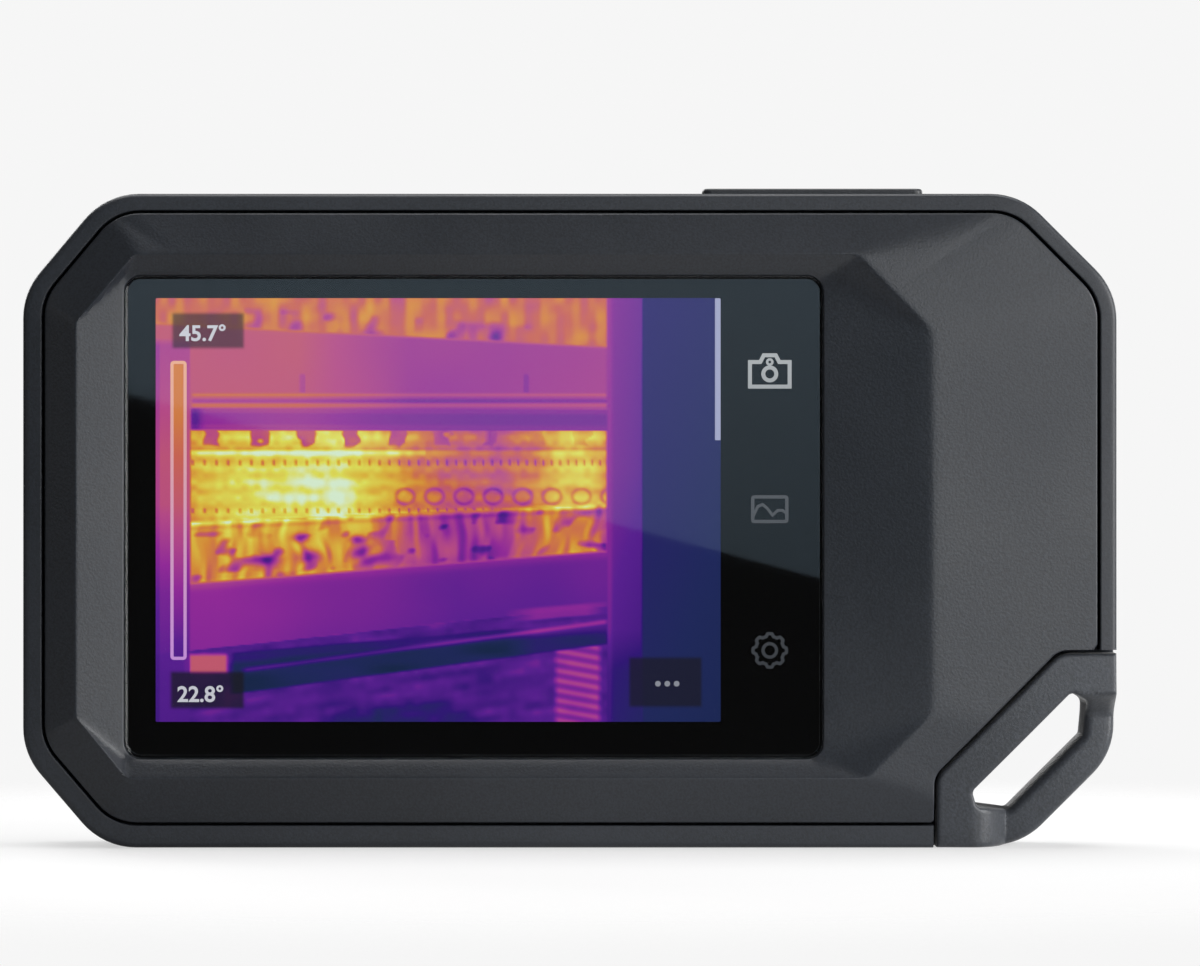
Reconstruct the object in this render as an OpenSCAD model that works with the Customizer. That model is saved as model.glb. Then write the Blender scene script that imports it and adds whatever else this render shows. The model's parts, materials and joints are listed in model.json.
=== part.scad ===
// Pocket thermal imaging camera, standing on its bottom edge.
// X runs across the display to the right, Y from the display side to the lens side, Z up.
// The origin is at the middle of the bottom edge.

/* [Case] */
// Width of the case
case_w = 138; // [136:1:142]
// Height of the case without the save button
case_h = 82.5; // [82:0.5:86]
// Depth of the case, display crest to lens face
case_d = 24; // [24:0.5:26]
// Radius where a chamfered corner meets a straight edge
case_corner_r = 9; // [5:0.5:10]
// Thickness of the flat parts of the covers
wall = 2.2; // [2:0.1:2.4]

/* [Display side] */
// Width of the band of the front cover that shows round the rear cover
band_w = 2.6; // [2.2:0.1:3]
// Gap between the band and the rear cover
seam_gap = 0.35; // [0.3:0.05:0.5]
// Fall of the outer bevels, crest to band
outer_fall = 2.4; // [1.8:0.1:3]
// Fall of the recess, crest to glass
recess_fall = 2; // [1.4:0.1:2.4]
// Width of the cover glass
glass_w = 87.8; // [86:0.2:88]
// Height of the cover glass
glass_h = 60.6; // [59:0.2:61]
// Thickness of the cover glass
glass_t = 1.1; // [0.7:0.1:1.1]
// Width of the lit picture
picture_w = 71.2; // [70:0.1:72]
// Height of the lit picture
picture_h = 53.4; // [52:0.1:54]

/* [Lanyard loop] */
// Width of the bar along the case, of the slot and of the outer arm
loop_bar = 4.7; // [4.4:0.1:5]
// Depth of the outer arm
loop_arm_d = 10; // [8:0.5:11]

/* [Buttons] */
// Length of the save button
save_w = 28; // [24:1:30]
// Height of the save button above the case
save_proud = 0.9; // [0.6:0.1:1.2]
// Length of the power button
power_w = 12; // [10:1:14]
// Depth of both buttons
button_d = 6.4; // [5:0.2:6.4]

/* [Optics] */
// Radius of the front face of the infrared lens
ir_lens_r = 4.2; // [3.5:0.1:4.2]
// Radius of the shutter paddle
shutter_r = 3.2; // [3:0.1:3.2]
// Swing of the shutter, parked to closed
shutter_swing = 35; // [30:1:36]

/* [Fastening] */
// Minor radius of the tripod thread
tripod_r = 2.55; // [2.5:0.05:2.6]
// Length of the tripod insert
tripod_len = 6.5; // [6:0.5:7]

/* [Hidden] */
$fn = 48;

skin = 0.01;                    // thickness of the slices that a bevel is hulled from
poke = 0.5;                     // how far a cut runs past the face it starts from
fit = 0.15;                     // gap round a piece that is glued or clipped in place
slip = 0.2;                     // gap round a button in its slot

// Heights along Y, from the display side to the lens side
y_crest = -case_d / 2;
y_bevel = y_crest + outer_fall;             // outer edge of the rear cover
y_glass = y_crest + recess_fall;
y_glass_back = y_glass + glass_t;
y_ledge = y_glass_back + 0.4;               // the glass rests here on its gasket
y_cover_in = y_ledge + 1.1;                 // inner face of the rear cover
y_skirt = -4.7;                             // end of the rear cover's skirt
y_shelf = -4;                               // the skirt closes on this shelf, with the seal between
y_band = y_bevel + 0.3;
y_grip = 8.6;                               // lens-side face of the grip
y_grip_in = y_grip - wall;
y_lens = case_d / 2;                        // face of the optics island
y_lens_in = y_lens - 2.6;
y_bezel = y_lens - 1.1;

// Outlines in X and Z: [left, right, bottom, top], then the chamfers as [across, up]
// in the order bottom left, bottom right, top right, top left
case_box = [-case_w / 2, case_w / 2, 0, case_h];
case_legs = [[10.1, 11.8], [11.8, 11.8], [12.2, 12.2], [10.4, 12.4]];
seam_box = [case_box[0] + band_w + 0.2, case_box[1] - band_w + 0.1, band_w + 0.6, case_h - band_w + 0.1];
seam_r = case_corner_r - band_w;
crest_box = [-62.1, 45.6, 8.9, 74.8];
crest_legs = [[6.4, 7.8], [8.1, 8.1], [9.4, 9.7], [7.5, 8.7]];
crest_r = 5;
glass_box = [-56, -56 + glass_w, 11.4, 11.4 + glass_h];
glass_r = 2;
picture_box = [-52.2, -52.2 + picture_w, 15.9, 15.9 + picture_h];
panel_border = 1.2;
island_box = [-56, 14, 9, 74];
island_legs = [[11, 11], [11, 11], [11, 11], [11, 11]];
island_slope = 4;
island_r = 4;
bezel_box = [-49, -11.5, 43, 67];
bezel_legs = [[6, 6], [6, 6], [6, 6], [6, 6]];
bezel_r = 2;

// Seam between the covers and the lanyard loop: a step, a 45 degree run and a step
loop_left = 46;
loop_top = 24.8;
loop_line = 36.9;               // X minus Z along the 45 degree run
loop_mid = [54.2, 17.2];
loop_along = [1, 1] / sqrt(2);
loop_inward = [-1, 1] / sqrt(2);
loop_bar_back = 7;

// Places of the round pieces, as [X, Z]
lens_at = [-37, 55];
camera_at = [-20, 60];
torch_at = [-20, 50];
pivot_at = [-45.3, 46.7];
tripod_at = [0, 1];
case_screw_at = [[-60.5, 15], [-60.5, 66], [60.5, 66], [61, 33], [39.8, 8.9]];
frame_screw_at = [[-59.6, 24.5], [-59.6, 57], [34.4, 22], [34.4, 60]];
board_screw_at = [[-54, 15], [-54, 68], [6, 15], [6, 68]];
peg_u = [-2.8, 2.8];            // pegs through the loop's tongue, along the 45 degree run
peg_v = 5.4;
peg_r = 1.9;
tongue_half = 5;                // the loop's tongue, along and across the 45 degree run
tongue_v = [-2, 8];
tongue_y = [-1.5, 2.5];
tongue_mouth_v = [-1, 4];       // where the tongue passes through the cover's wall

// Fasteners and bosses
case_boss_r = 2.8;
case_shank_r = 1.2;
case_head_r = 2.2;
case_head_h = 1.6;
case_head_sink = 2;
y_boss_split = -1;
screw_post_gap = 0.2;           // the seam closes before the posts meet
y_case_tip = -5;
small_boss_r = 2.2;
small_shank_r = 0.95;
small_head_r = 1.8;
small_head_h = 1.1;
bore_gap = 0.05;                // gap between a shank and its bore
boss_gap = 0.4;                 // gap round a boss that passes through a plate
tripod_insert_r = 4.6;
tripod_wall = 1;                // boss round the insert
tripod_floor = 1.5;             // boss over the insert
tripod_end_gap = 0.5;           // room past the end of a camera screw
socket_r = 0.9;

// Pieces that are plain blocks, as [lowest corner, highest corner]
frame_plate = [[-62, -6.2, 7.6], [36.8, -5.4, 75.4]];
frame_window = [[-21, -8, 20], [-7, -4, 26.6]];             // for the display ribbon
board_box = [[-61, -2.2, 9], [10, -1.2, 72]];
battery_box = [[14, 0.3, 27.5], [54, 5.9, 71.5]];
battery_pad_box = [[20, 5.95, 33], [48, 6.35, 66]];
can_box = [[-44, -1.15, 14], [-12, 1.05, 38]];
can_wall = 0.3;
pad_box = [[-34, -5.35, 32], [-22, -3.35, 44]];
chip_boxes = [[[-34, -3.3, 32], [-22, -2.25, 44]],          // processor, against the thermal pad
              [[-20, -3.1, 27], [-8, -2.25, 31]],           // display connector
              [[-40, -1.15, 17], [-28, 0.15, 29]],          // image processor, under the can
              [[-24, -1.15, 18], [-15, -0.05, 32]],         // memory, under the can
              [[-41, -1.15, 51], [-33, 0.7, 59]],           // socket of the thermal core
              [[-4, -1.15, 50], [4, 0.35, 55]],             // battery connector
              [[-23, -1.15, 45.5], [-17, -0.25, 48.5]],     // camera connector
              [[-2, -1.15, 28], [5, -0.15, 35]]];           // radio
guide_box = [[21.8, y_ledge + 0.1, 19], [28.6, y_ledge + 1.6, 66.4]];
icon_board_box = [[21.8, guide_box[1][1] + 0.05, 19.6], [28.6, guide_box[1][1] + 0.5, 65.8]];
usb_box = [[-65, -1.15, 29.5], [-57.6, 2.05, 38.5]];
usb_wall = 0.35;
usb_tongue = [[-64.2, 0.1, 30.8], [-58, 0.8, 37.2]];
flap_box = [[-case_w / 2, -3.95, 25.75], [-67.05, 4.85, 42.25]];
flap_pad = [[-67.1, -0.9, 29.4], [-66.3, 1.8, 38.5]];
flap_nick = 1.2;
flap_gap = 0.25;
core_box = [[-48, 1.6, 44], [-26, 8.6, 66]];
core_wall = 1.2;
core_roof = 5;
core_board_box = [[-48, 0.75, 44], [-26, 1.55, 66]];
sensor_box = [[-41.5, 1.6, 50.5], [-32.5, 3.2, 59.5]];
motor_box = [[-46.7, 1.6, 45.3], [-43.9, 3.6, 48.1]];
camera_box = [[camera_at[0] - 4.2, 4.6, camera_at[1] - 4.2], [camera_at[0] + 4.2, 9.2, camera_at[1] + 4.2]];
torch_board_box = [[torch_at[0] - 3, 7.2, torch_at[1] - 3], [torch_at[0] + 3, 8, torch_at[1] + 3]];
torch_chip_box = [[torch_at[0] - 1.5, 8, torch_at[1] - 1.5], [torch_at[0] + 1.5, 8.7, torch_at[1] + 1.5]];
switch_board_box = [[-42, -3.5, 74.8], [49, 3.5, 75.6]];
board_rib_x = [-44, 0, 46];     // ribs under the switch board
rib_t = 1.6;
antenna_box = [[12.5, 6.15, 9], [34, 6.35, 19]];
flank_pocket = [[40, y_cover_in - 1, 14], [59, y_cover_in + poke, 70]];

// Optics along the lens axis
barrel_r = 5.6;
barrel_y = [5.2, 10];
ring_r = 7;
ring_y = [10.05, 11.7];
ring_mouth_r = 6.2;
lens_y = [8.4, 9.8];
lens_crown = 0.5;
shutter_y = [3.75, 4.05];
shutter_hub_r = 1.2;
shutter_arm_w = 1.6;
shutter_shaft_r = 0.5;
shutter_shaft_y = 2.1;
camera_barrel_r = 3;
camera_window_r = 3.4;
torch_lens_r = 2.9;

// Buttons along Z
z_slot = case_h - 2.2;          // underside of the wall round a button
z_flange = z_slot - 0.1;
flange_t = 1.2;
flange_lip = 1.1;               // at the ends of a button
flange_side = 0.4;              // along its sides
save_x = 30.8;
power_x = -30;
plunger_r = 1.2;
plunger_low = 77;
switch_top = 77.6;
switch_size = 6;

// Cables that are held inside the case, as [X, Y, Z] points
antenna_route = [[14, 5.6, 14], [12, 5.4, 14.4], [10, 4.4, 15.4], [8.6, 2.8, 16.8], [8, 1.2, 18.4],
                 [7.6, 0.2, 20], [6.6, -0.1, 22], [5.2, -0.2, 24], [4, -0.2, 26], [3, -0.3, 27.5]];
antenna_r = 0.5;
lead_route = [[13.9, 3.2, 56], [12.4, 3.2, 56], [11, 2.8, 55.4], [9.6, 2, 54.4], [8, 1.2, 53.4],
              [6.2, 0.6, 52.8], [4.4, 0.2, 52.5]];
lead_r = 0.9;
tube_sides = 8;
display_ribbon = [[-6.55, 14.5], [-6.55, 21], [-5.4, 23.4], [-3.6, 26.4], [-3.25, 27.2], [-3.25, 30.8]];
camera_ribbon = [[4.35, 63], [4.35, 54.4], [3.4, 52.4], [1.2, 50.4], [0.1, 48.6], [0.1, 46]];
ribbon_shift = [0.14, -0.14];

function unit(v) = v / norm(v);

// Arc of radius r that rounds the corner between two straight edges
function arc_at(before, corner, after, r, n) =
    let (u = unit(before - corner),
         v = unit(after - corner),
         half = acos(u * v) / 2,
         centre = corner + unit(u + v) * r / sin(half),
         from = corner + u * r / tan(half) - centre,
         start = atan2(from[1], from[0]),
         sweep = sign(cross(v, u)) * (180 - 2 * half))
    [for (i = [0:n]) centre + r * [cos(start + sweep * i / n), sin(start + sweep * i / n)]];
function rounded(points, r, n = 5) =
    let (m = len(points))
    [for (k = [0:m - 1]) each arc_at(points[(k + m - 1) % m], points[k], points[(k + 1) % m], r, n)];

// Rectangle with four chamfered corners, and what it becomes when it shrinks by t all round
function octagon(b, legs) = [
    [b[0] + legs[0][0], b[2]], [b[1] - legs[1][0], b[2]],
    [b[1], b[2] + legs[1][1]], [b[1], b[3] - legs[2][1]],
    [b[1] - legs[2][0], b[3]], [b[0] + legs[3][0], b[3]],
    [b[0], b[3] - legs[3][1]], [b[0], b[2] + legs[0][1]]];
function rectangle(b) = [[b[0], b[2]], [b[1], b[2]], [b[1], b[3]], [b[0], b[3]]];
function shrunk_leg(a, b, t) = a - t * (1 + a / b - sqrt(1 + pow(a / b, 2)));
function shrunk_legs(legs, t) =
    [for (leg = legs) [shrunk_leg(leg[0], leg[1], t), shrunk_leg(leg[1], leg[0], t)]];
function shrunk_box(b, t) = [b[0] + t, b[1] - t, b[2] + t, b[3] - t];

function case_outline(t) =
    rounded(octagon(shrunk_box(case_box, t), shrunk_legs(case_legs, t)), case_corner_r - t);
function seam_outline(t) =
    rounded(octagon(shrunk_box(seam_box, t), shrunk_legs(case_legs, band_w + t)), seam_r - t);
function crest_outline(t) =
    rounded(octagon(shrunk_box(crest_box, t), shrunk_legs(crest_legs, t)), crest_r - t);
function island_outline(t) =
    rounded(octagon(shrunk_box(island_box, t), shrunk_legs(island_legs, t)), island_r);
function bezel_outline(t) =
    rounded(octagon(shrunk_box(bezel_box, t), shrunk_legs(bezel_legs, t)), bezel_r);
function glass_outline(t) = rounded(rectangle(shrunk_box(glass_box, t)), glass_r);

// The corner that belongs to the lanyard loop, with its boundary moved into the case by t
function loop_zone(t) =
    let (far = case_w, low = -case_h)
    concat([[far, low], [far, loop_top + t]],
           arc_at([far, loop_top + t], [loop_top + loop_line + t * (1 - sqrt(2)), loop_top + t],
                  [loop_left - t, loop_left - loop_line + t * (sqrt(2) - 1)], 3, 5),
           arc_at([loop_top + loop_line + t * (1 - sqrt(2)), loop_top + t],
                  [loop_left - t, loop_left - loop_line + t * (sqrt(2) - 1)], [loop_left - t, low], 3, 5),
           [[loop_left - t, low]]);
function beside_loop(u, v) = loop_mid + u * loop_along + v * loop_inward;
function tongue(v, t) =
    [for (c = [[-1, v[0]], [1, v[0]], [1, v[1]], [-1, v[1]]]) beside_loop(c[0] * (tongue_half + t), c[1])];

// Plate between two heights along Y, from an outline in X and Z
module slab(points, y0, y1)
    translate([0, y1, 0]) rotate([90, 0, 0]) linear_extrude(y1 - y0) polygon(points);
module slab_less_loop(points, t, y0, y1)
    translate([0, y1, 0]) rotate([90, 0, 0]) linear_extrude(y1 - y0)
        difference() {
            polygon(points);
            polygon(loop_zone(t));
        }
module block(box) translate(box[0]) cube(box[1] - box[0]);
module rod_y(at, r, y0, y1) translate([at[0], y1, at[1]]) rotate([90, 0, 0]) cylinder(r = r, h = y1 - y0);
module bevel(points_a, y_a, points_b, y_b)
    hull() {
        slab(points_a, y_a, y_a + skin);
        slab(points_b, y_b - skin, y_b);
    }

// Ribbon cable: a line in Y and Z, made thin and as wide as x0 to x1
module ribbon(line, x0, x1)
    translate([x0, 0, 0]) rotate([90, 0, 90]) linear_extrude(x1 - x0)
        polygon(concat(line, [for (i = [len(line) - 1:-1:0]) line[i] + ribbon_shift]));

// Round cable swept along a route
function tangent(route, i) =
    unit(route[min(i + 1, len(route) - 1)] - route[max(i - 1, 0)]);
function tube_ring(at, along, r) =
    let (side = unit(cross(along, [0, 0.3, 1])), up = cross(side, along))
    [for (k = [0:tube_sides - 1])
        at + r * (cos(360 * k / tube_sides) * side + sin(360 * k / tube_sides) * up)];
module tube(route, r) {
    rings = [for (i = [0:len(route) - 1]) each tube_ring(route[i], tangent(route, i), r)];
    last = (len(route) - 1) * tube_sides;
    walls = [for (i = [0:len(route) - 2], k = [0:tube_sides - 1])
        let (a = i * tube_sides + k, b = i * tube_sides + (k + 1) % tube_sides)
        [a, a + tube_sides, b + tube_sides, b]];
    polyhedron(points = rings,
               faces = concat(walls,
                              [[for (k = [0:tube_sides - 1]) k]],
                              [[for (k = [tube_sides - 1:-1:0]) last + k]]));
}

// Screw put in from the lens side: head, shank and a round recess for the driver
module screw(at, y_head, y_tip, shank_r, head_r, head_h)
    difference() {
        union() {
            rod_y(at, shank_r, y_tip, y_head + skin);
            rod_y(at, head_r, y_head, y_head + head_h);
        }
        rod_y(at, socket_r, y_head + head_h / 2, y_head + head_h + poke);
    }

module rear_cover() color("dimgray") {
    difference() {
        union() {
            slab_less_loop(seam_outline(0), fit, y_bevel, y_skirt);
            difference() {
                bevel(crest_outline(0), y_crest, seam_outline(0), y_bevel + 0.2);
                slab(loop_zone(fit), y_crest - poke, y_bevel + 2 * poke);
            }
        }
        bevel(crest_outline(0.4), y_crest - poke, crest_outline(0.4), y_crest + skin);
        bevel(crest_outline(0.4), y_crest, glass_outline(-fit), y_glass - fit + skin);
        slab(glass_outline(-fit), y_glass - poke, y_ledge);
        slab(rectangle(shrunk_box(picture_box, -panel_border - fit)), y_ledge - poke, y_cover_in + poke);
        block([guide_box[0] - [fit, poke, fit], guide_box[1] + [fit, poke, fit]]);
        slab_less_loop(seam_outline(1.6), 1.9, y_cover_in, y_skirt + poke);
        block(flank_pocket);
        for (at = frame_screw_at) rod_y(at, small_shank_r + bore_gap, y_cover_in - 1.8, y_cover_in + poke);
    }
    difference() {
        union() {
            for (at = case_screw_at) rod_y(at, case_boss_r, y_cover_in - 0.3, y_boss_split - screw_post_gap);
            for (at = frame_screw_at) rod_y(at, small_boss_r, y_cover_in - 0.3, frame_plate[0][1] - bore_gap);
        }
        for (at = case_screw_at) rod_y(at, case_shank_r + bore_gap, y_case_tip - 0.5, 0);
        for (at = frame_screw_at) rod_y(at, small_shank_r + bore_gap, y_cover_in - poke, 0);
    }
}

module button_slot(x, w) {
    translate([x - w / 2 - slip, -button_d / 2 - slip, z_slot - poke])
        cube([w + 2 * slip, button_d + 2 * slip, case_h]);
    translate([x - w / 2 - flange_lip - slip, -button_d / 2 - flange_side - slip, z_slot - 3])
        cube([w + 2 * (flange_lip + slip), button_d + 2 * (flange_side + slip), 3]);
}

module tripod_hole()
    translate([tripod_at[0], tripod_at[1], -poke])
        cylinder(r = tripod_insert_r + bore_gap, h = poke + tripod_len + tripod_end_gap);

module front_cover() color("dimgray") {
    difference() {
        union() {
            slab(case_outline(0), y_band + 0.7, 5.6);
            bevel(case_outline(0.8), y_band, case_outline(0), y_band + 0.8);
            bevel(case_outline(0), 5.5, case_outline(4.5), y_grip);
            bevel(island_outline(0), y_grip - 0.1, island_outline(island_slope), y_lens);
        }
        slab(seam_outline(-seam_gap), y_band - poke, y_shelf);
        slab_less_loop(seam_outline(1.1), wall, y_shelf - poke, y_grip_in);
        slab(island_outline(3), y_grip_in - poke, y_lens_in);
        slab(loop_zone(fit), y_crest, y_lens);
        slab(bezel_outline(-fit), y_bezel, y_lens + poke);
        rod_y(lens_at, ring_r + fit, 0, y_lens);
        rod_y(camera_at, camera_barrel_r + 0.4, 0, y_lens);
        rod_y(torch_at, torch_lens_r + 0.1, 0, y_lens);
        button_slot(save_x, save_w);
        button_slot(power_x, power_w);
        block([flap_box[0] - [poke, flap_gap, flap_gap], flap_box[1] + [bore_gap, flap_gap, flap_gap]]);
        block([[flap_pad[0][0] - poke, usb_box[0][1] - 0.35, flap_pad[0][2] - 0.8],
               [usb_box[1][0], usb_box[1][1] + 0.35, flap_pad[1][2] + 0.9]]);
        for (at = case_screw_at) rod_y(at, case_head_r + fit, y_grip - case_head_sink, y_lens);
        for (at = case_screw_at) rod_y(at, case_shank_r + bore_gap, 0, y_lens);
        tripod_hole();
        slab(tongue(tongue_mouth_v, slip), tongue_y[0] - slip, tongue_y[1] + slip);
    }
    difference() {
        for (at = case_screw_at) rod_y(at, case_boss_r, y_boss_split, y_grip_in + 0.1);
        for (at = case_screw_at) rod_y(at, case_shank_r + bore_gap, y_boss_split - poke, y_lens);
        for (at = case_screw_at) rod_y(at, case_head_r + fit, y_grip - case_head_sink, y_lens);
    }
    difference() {
        translate([tripod_at[0], tripod_at[1], wall + 2])
            cylinder(r = tripod_insert_r + tripod_wall, h = tripod_len + tripod_end_gap + tripod_floor - wall - 2);
        tripod_hole();
    }
    for (u = peg_u) rod_y(beside_loop(u, peg_v), peg_r, tongue_y[0] - 0.7, y_grip_in + 0.1);
    for (x = [switch_board_box[0][0] - rib_t - slip, switch_board_box[1][0] + slip])
        block([[x, -3.2, 73.4], [x + rib_t, y_grip_in + 0.1, 79]]);
    for (x = board_rib_x)
        block([[x, switch_board_box[0][1] + 1, 73.2], [x + rib_t, y_grip_in + 0.1, switch_board_box[0][2] - bore_gap]]);
    sockets = [[camera_box, 6.6], [torch_board_box, 7]];
    for (s = sockets)
        difference() {
            block([[s[0][0][0] - 1.1, s[1], s[0][0][2] - 1.1], [s[0][1][0] + 1.1, y_lens_in + 0.1, s[0][1][2] + 1.1]]);
            block([[s[0][0][0] - fit, 0, s[0][0][2] - fit], [s[0][1][0] + fit, y_lens_in + 0.1, s[0][1][2] + fit]]);
        }
}

module lanyard_loop() color("gray") difference() {
    union() {
        intersection() {
            slab(case_outline(0), y_band, loop_bar_back);
            slab(loop_zone(-0.3), y_crest, y_lens);
        }
        slab(tongue(tongue_v, 0), tongue_y[0], tongue_y[1]);
    }
    // slanted slot for a strap
    slab(loop_slot(), y_crest, y_lens);
    // the outer arm is set back on both sides
    for (y = [[y_crest, -loop_arm_d / 2], [loop_arm_d / 2, y_lens]])
        slab([for (c = [[-40, -1.5 * loop_bar], [40, -1.5 * loop_bar], [40, -40], [-40, -40]])
            beside_loop(c[0], c[1])], y[0], y[1]);
    for (u = peg_u) rod_y(beside_loop(u, peg_v), peg_r + 0.1, y_crest, y_lens);
}
function loop_slot() =
    rounded([for (c = [[-9.6, -loop_bar], [-10.6, -1.4 * loop_bar], [-7.9, -2.1 * loop_bar], [5.4, -2.1 * loop_bar],
                       [8.8, -1.5 * loop_bar], [8.2, -loop_bar]]) beside_loop(c[0], c[1])], 0.9, 3);

module case_seal() color("darkslategray")
    translate([0, y_shelf - bore_gap, 0]) rotate([90, 0, 0]) linear_extrude(y_shelf - y_skirt - 2 * bore_gap)
        difference() {
            difference() {
                polygon(seam_outline(0.1));
                polygon(loop_zone(0.5));
            }
            difference() {
                polygon(seam_outline(1));
                polygon(loop_zone(1.5));
            }
        }

module display_glass() color("black") slab(glass_outline(0), y_glass, y_glass_back);

module display_gasket() color("darkslategray")
    translate([0, y_ledge - bore_gap / 2, 0]) rotate([90, 0, 0]) linear_extrude(y_ledge - y_glass_back - bore_gap)
        difference() {
            polygon(glass_outline(0.25));
            polygon(rectangle(shrunk_box(picture_box, -panel_border - fit)));
            translate([guide_box[0][0] - fit, guide_box[0][2] - fit])
                square([guide_box[1][0] - guide_box[0][0] + 2 * fit, guide_box[1][2] - guide_box[0][2] + 2 * fit]);
        }

module lcd_panel() color("midnightblue")
    slab(rectangle(shrunk_box(picture_box, -panel_border)), y_glass_back + bore_gap, y_glass_back + 2.3);

module icon_light_guide() color("white") block(guide_box);
module icon_board() color("darkgreen") block(icon_board_box);

module mid_frame() color("silver") {
    difference() {
        intersection() {
            block(frame_plate);
            slab(seam_outline(2.4), y_crest, y_lens);
        }
        for (at = case_screw_at) rod_y(at, case_boss_r + boss_gap, y_crest, 0);
        for (at = frame_screw_at) rod_y(at, small_shank_r + slip, y_crest, 0);
        block(frame_window);
    }
    difference() {
        for (at = board_screw_at) rod_y(at, small_boss_r, frame_plate[1][1] - 0.1, board_box[0][1] - bore_gap);
        for (at = board_screw_at) rod_y(at, small_shank_r + bore_gap, frame_plate[1][1], 0);
    }
}

module main_board() color("darkgreen") difference() {
    block(board_box);
    for (at = case_screw_at) rod_y(at, case_boss_r + boss_gap, y_crest, 0);
    for (at = board_screw_at) rod_y(at, small_shank_r + slip, y_crest, 0);
}

module board_chips() color("black") for (chip = chip_boxes) block(chip);
module thermal_pad() color("lightblue") block(pad_box);

module shield_can() color("lightgray") difference() {
    block(can_box);
    block([can_box[0] + [can_wall, -poke, can_wall], can_box[1] - [can_wall, can_wall, can_wall]]);
}

module display_flex() color("orange") ribbon(display_ribbon, -20, -8);
module camera_flex() color("orange") ribbon(camera_ribbon, camera_at[0] - 2.5, camera_at[0] + 2.5);

module battery() color("lightsteelblue") block(battery_box);
module battery_pad() color("dimgray") block(battery_pad_box);
module battery_lead() color("crimson") tube(lead_route, lead_r);

module usb_receptacle() color("silver") {
    difference() {
        block(usb_box);
        block([usb_box[0] + [-poke, usb_wall, usb_wall], usb_box[1] - [usb_wall, usb_wall, usb_wall]]);
    }
    block([usb_tongue[0], [usb_box[1][0] - usb_wall / 2, usb_tongue[1][1], usb_tongue[1][2]]]);
}

module usb_flap() color("dimgray") difference() {
    union() {
        block(flap_box);
        block(flap_pad);
    }
    // finger nick at the free end
    translate([flap_box[0][0], 0.45, flap_box[1][2]]) rotate([90, 0, 0])
        cylinder(r = flap_nick, h = 5, center = true);
}

module optics_bezel() color("black") difference() {
    slab(bezel_outline(0), y_bezel + bore_gap, y_lens - bore_gap);
    rod_y(lens_at, ring_r + 0.1, 0, 20);
    rod_y(camera_at, camera_window_r + 0.1, 0, 20);
    rod_y(torch_at, torch_lens_r + 0.1, 0, 20);
}

module turned(at, profile) translate([at[0], 0, at[1]]) rotate([-90, 0, 0]) rotate_extrude() polygon(profile);

module lens_ring() color("gray")
    turned(lens_at, [[ir_lens_r + 0.4, ring_y[0]], [ring_r, ring_y[0]], [ring_r, ring_y[1] - 0.3],
                     [ring_r - 0.3, ring_y[1]], [ring_mouth_r, ring_y[1]]]);

module lens_barrel() color("darkslategray")
    turned(lens_at, [[ir_lens_r - 0.7, barrel_y[0]], [barrel_r, barrel_y[0]], [barrel_r, barrel_y[1]],
                     [ir_lens_r + 0.05, barrel_y[1]], [ir_lens_r + 0.05, lens_y[0] - 0.05],
                     [ir_lens_r - 0.7, lens_y[0] - 0.05]]);

// Plano-convex lens whose front face is part of a sphere
function crown_r() = (pow(ir_lens_r, 2) + pow(lens_crown, 2)) / (2 * lens_crown);
function crown_half() = asin(ir_lens_r / crown_r());
module ir_lens() color("darkslateblue")
    turned(lens_at, concat([[0, lens_y[0]], [ir_lens_r, lens_y[0]]],
        [for (i = [0:6])
            let (a = crown_half() * (1 - i / 6))
            [crown_r() * sin(a), lens_y[1] - crown_r() * (1 - cos(a))]]));

module core_housing() color("silver") difference() {
    block(core_box);
    block([core_box[0] + [core_wall, -poke, core_wall],
           [core_box[1][0] - core_wall, core_roof, core_box[1][2] - core_wall]]);
    rod_y(lens_at, barrel_r + bore_gap, 0, y_lens);
}

module sensor_package() color("goldenrod") block(sensor_box);
module core_board() color("darkgreen") block(core_board_box);

// Parked beside the lens axis at rest; the paddle reaches the axis after its swing
shutter_reach = norm(lens_at - pivot_at);
shutter_park = atan2(lens_at[1] - pivot_at[1], lens_at[0] - pivot_at[0]) - shutter_swing;
module shutter_flag() color("black") {
    translate([0, shutter_y[1], 0]) rotate([90, 0, 0]) linear_extrude(shutter_y[1] - shutter_y[0]) {
        translate(pivot_at) circle(shutter_hub_r);
        translate(pivot_at + shutter_reach * [cos(shutter_park), sin(shutter_park)]) circle(shutter_r);
        translate(pivot_at) rotate(shutter_park) translate([0, -shutter_arm_w / 2])
            square([shutter_reach - 1, shutter_arm_w]);
    }
    rod_y(pivot_at, shutter_shaft_r, shutter_shaft_y, shutter_y[0] + 0.1);
}

module shutter_motor() color("dimgray") difference() {
    block(motor_box);
    rod_y(pivot_at, shutter_shaft_r + bore_gap, shutter_shaft_y - 0.2, 10);
}

module camera_module() color("black") {
    block(camera_box);
    rod_y(camera_at, camera_barrel_r, camera_box[1][1] - 0.1, 10.6);
}
module camera_window() color("lightgray") rod_y(camera_at, camera_window_r, y_bezel + 0.1, y_lens - 0.3);

module torch_led() color("khaki") {
    block(torch_board_box);
    block(torch_chip_box);
}
module torch_lens() color("white") rod_y(torch_at, torch_lens_r, 9.6, y_lens - 0.3);

module button(x, w, z_top) {
    translate([x - w / 2, -button_d / 2, z_flange - 0.1]) cube([w, button_d, z_top - z_flange + 0.1]);
    translate([x - w / 2 - flange_lip, -button_d / 2 - flange_side, z_flange - flange_t])
        cube([w + 2 * flange_lip, button_d + 2 * flange_side, flange_t]);
}
module save_button() color("dimgray") button(save_x, save_w, case_h + save_proud);
module power_button() color("dimgray") button(power_x, power_w, case_h);

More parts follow.
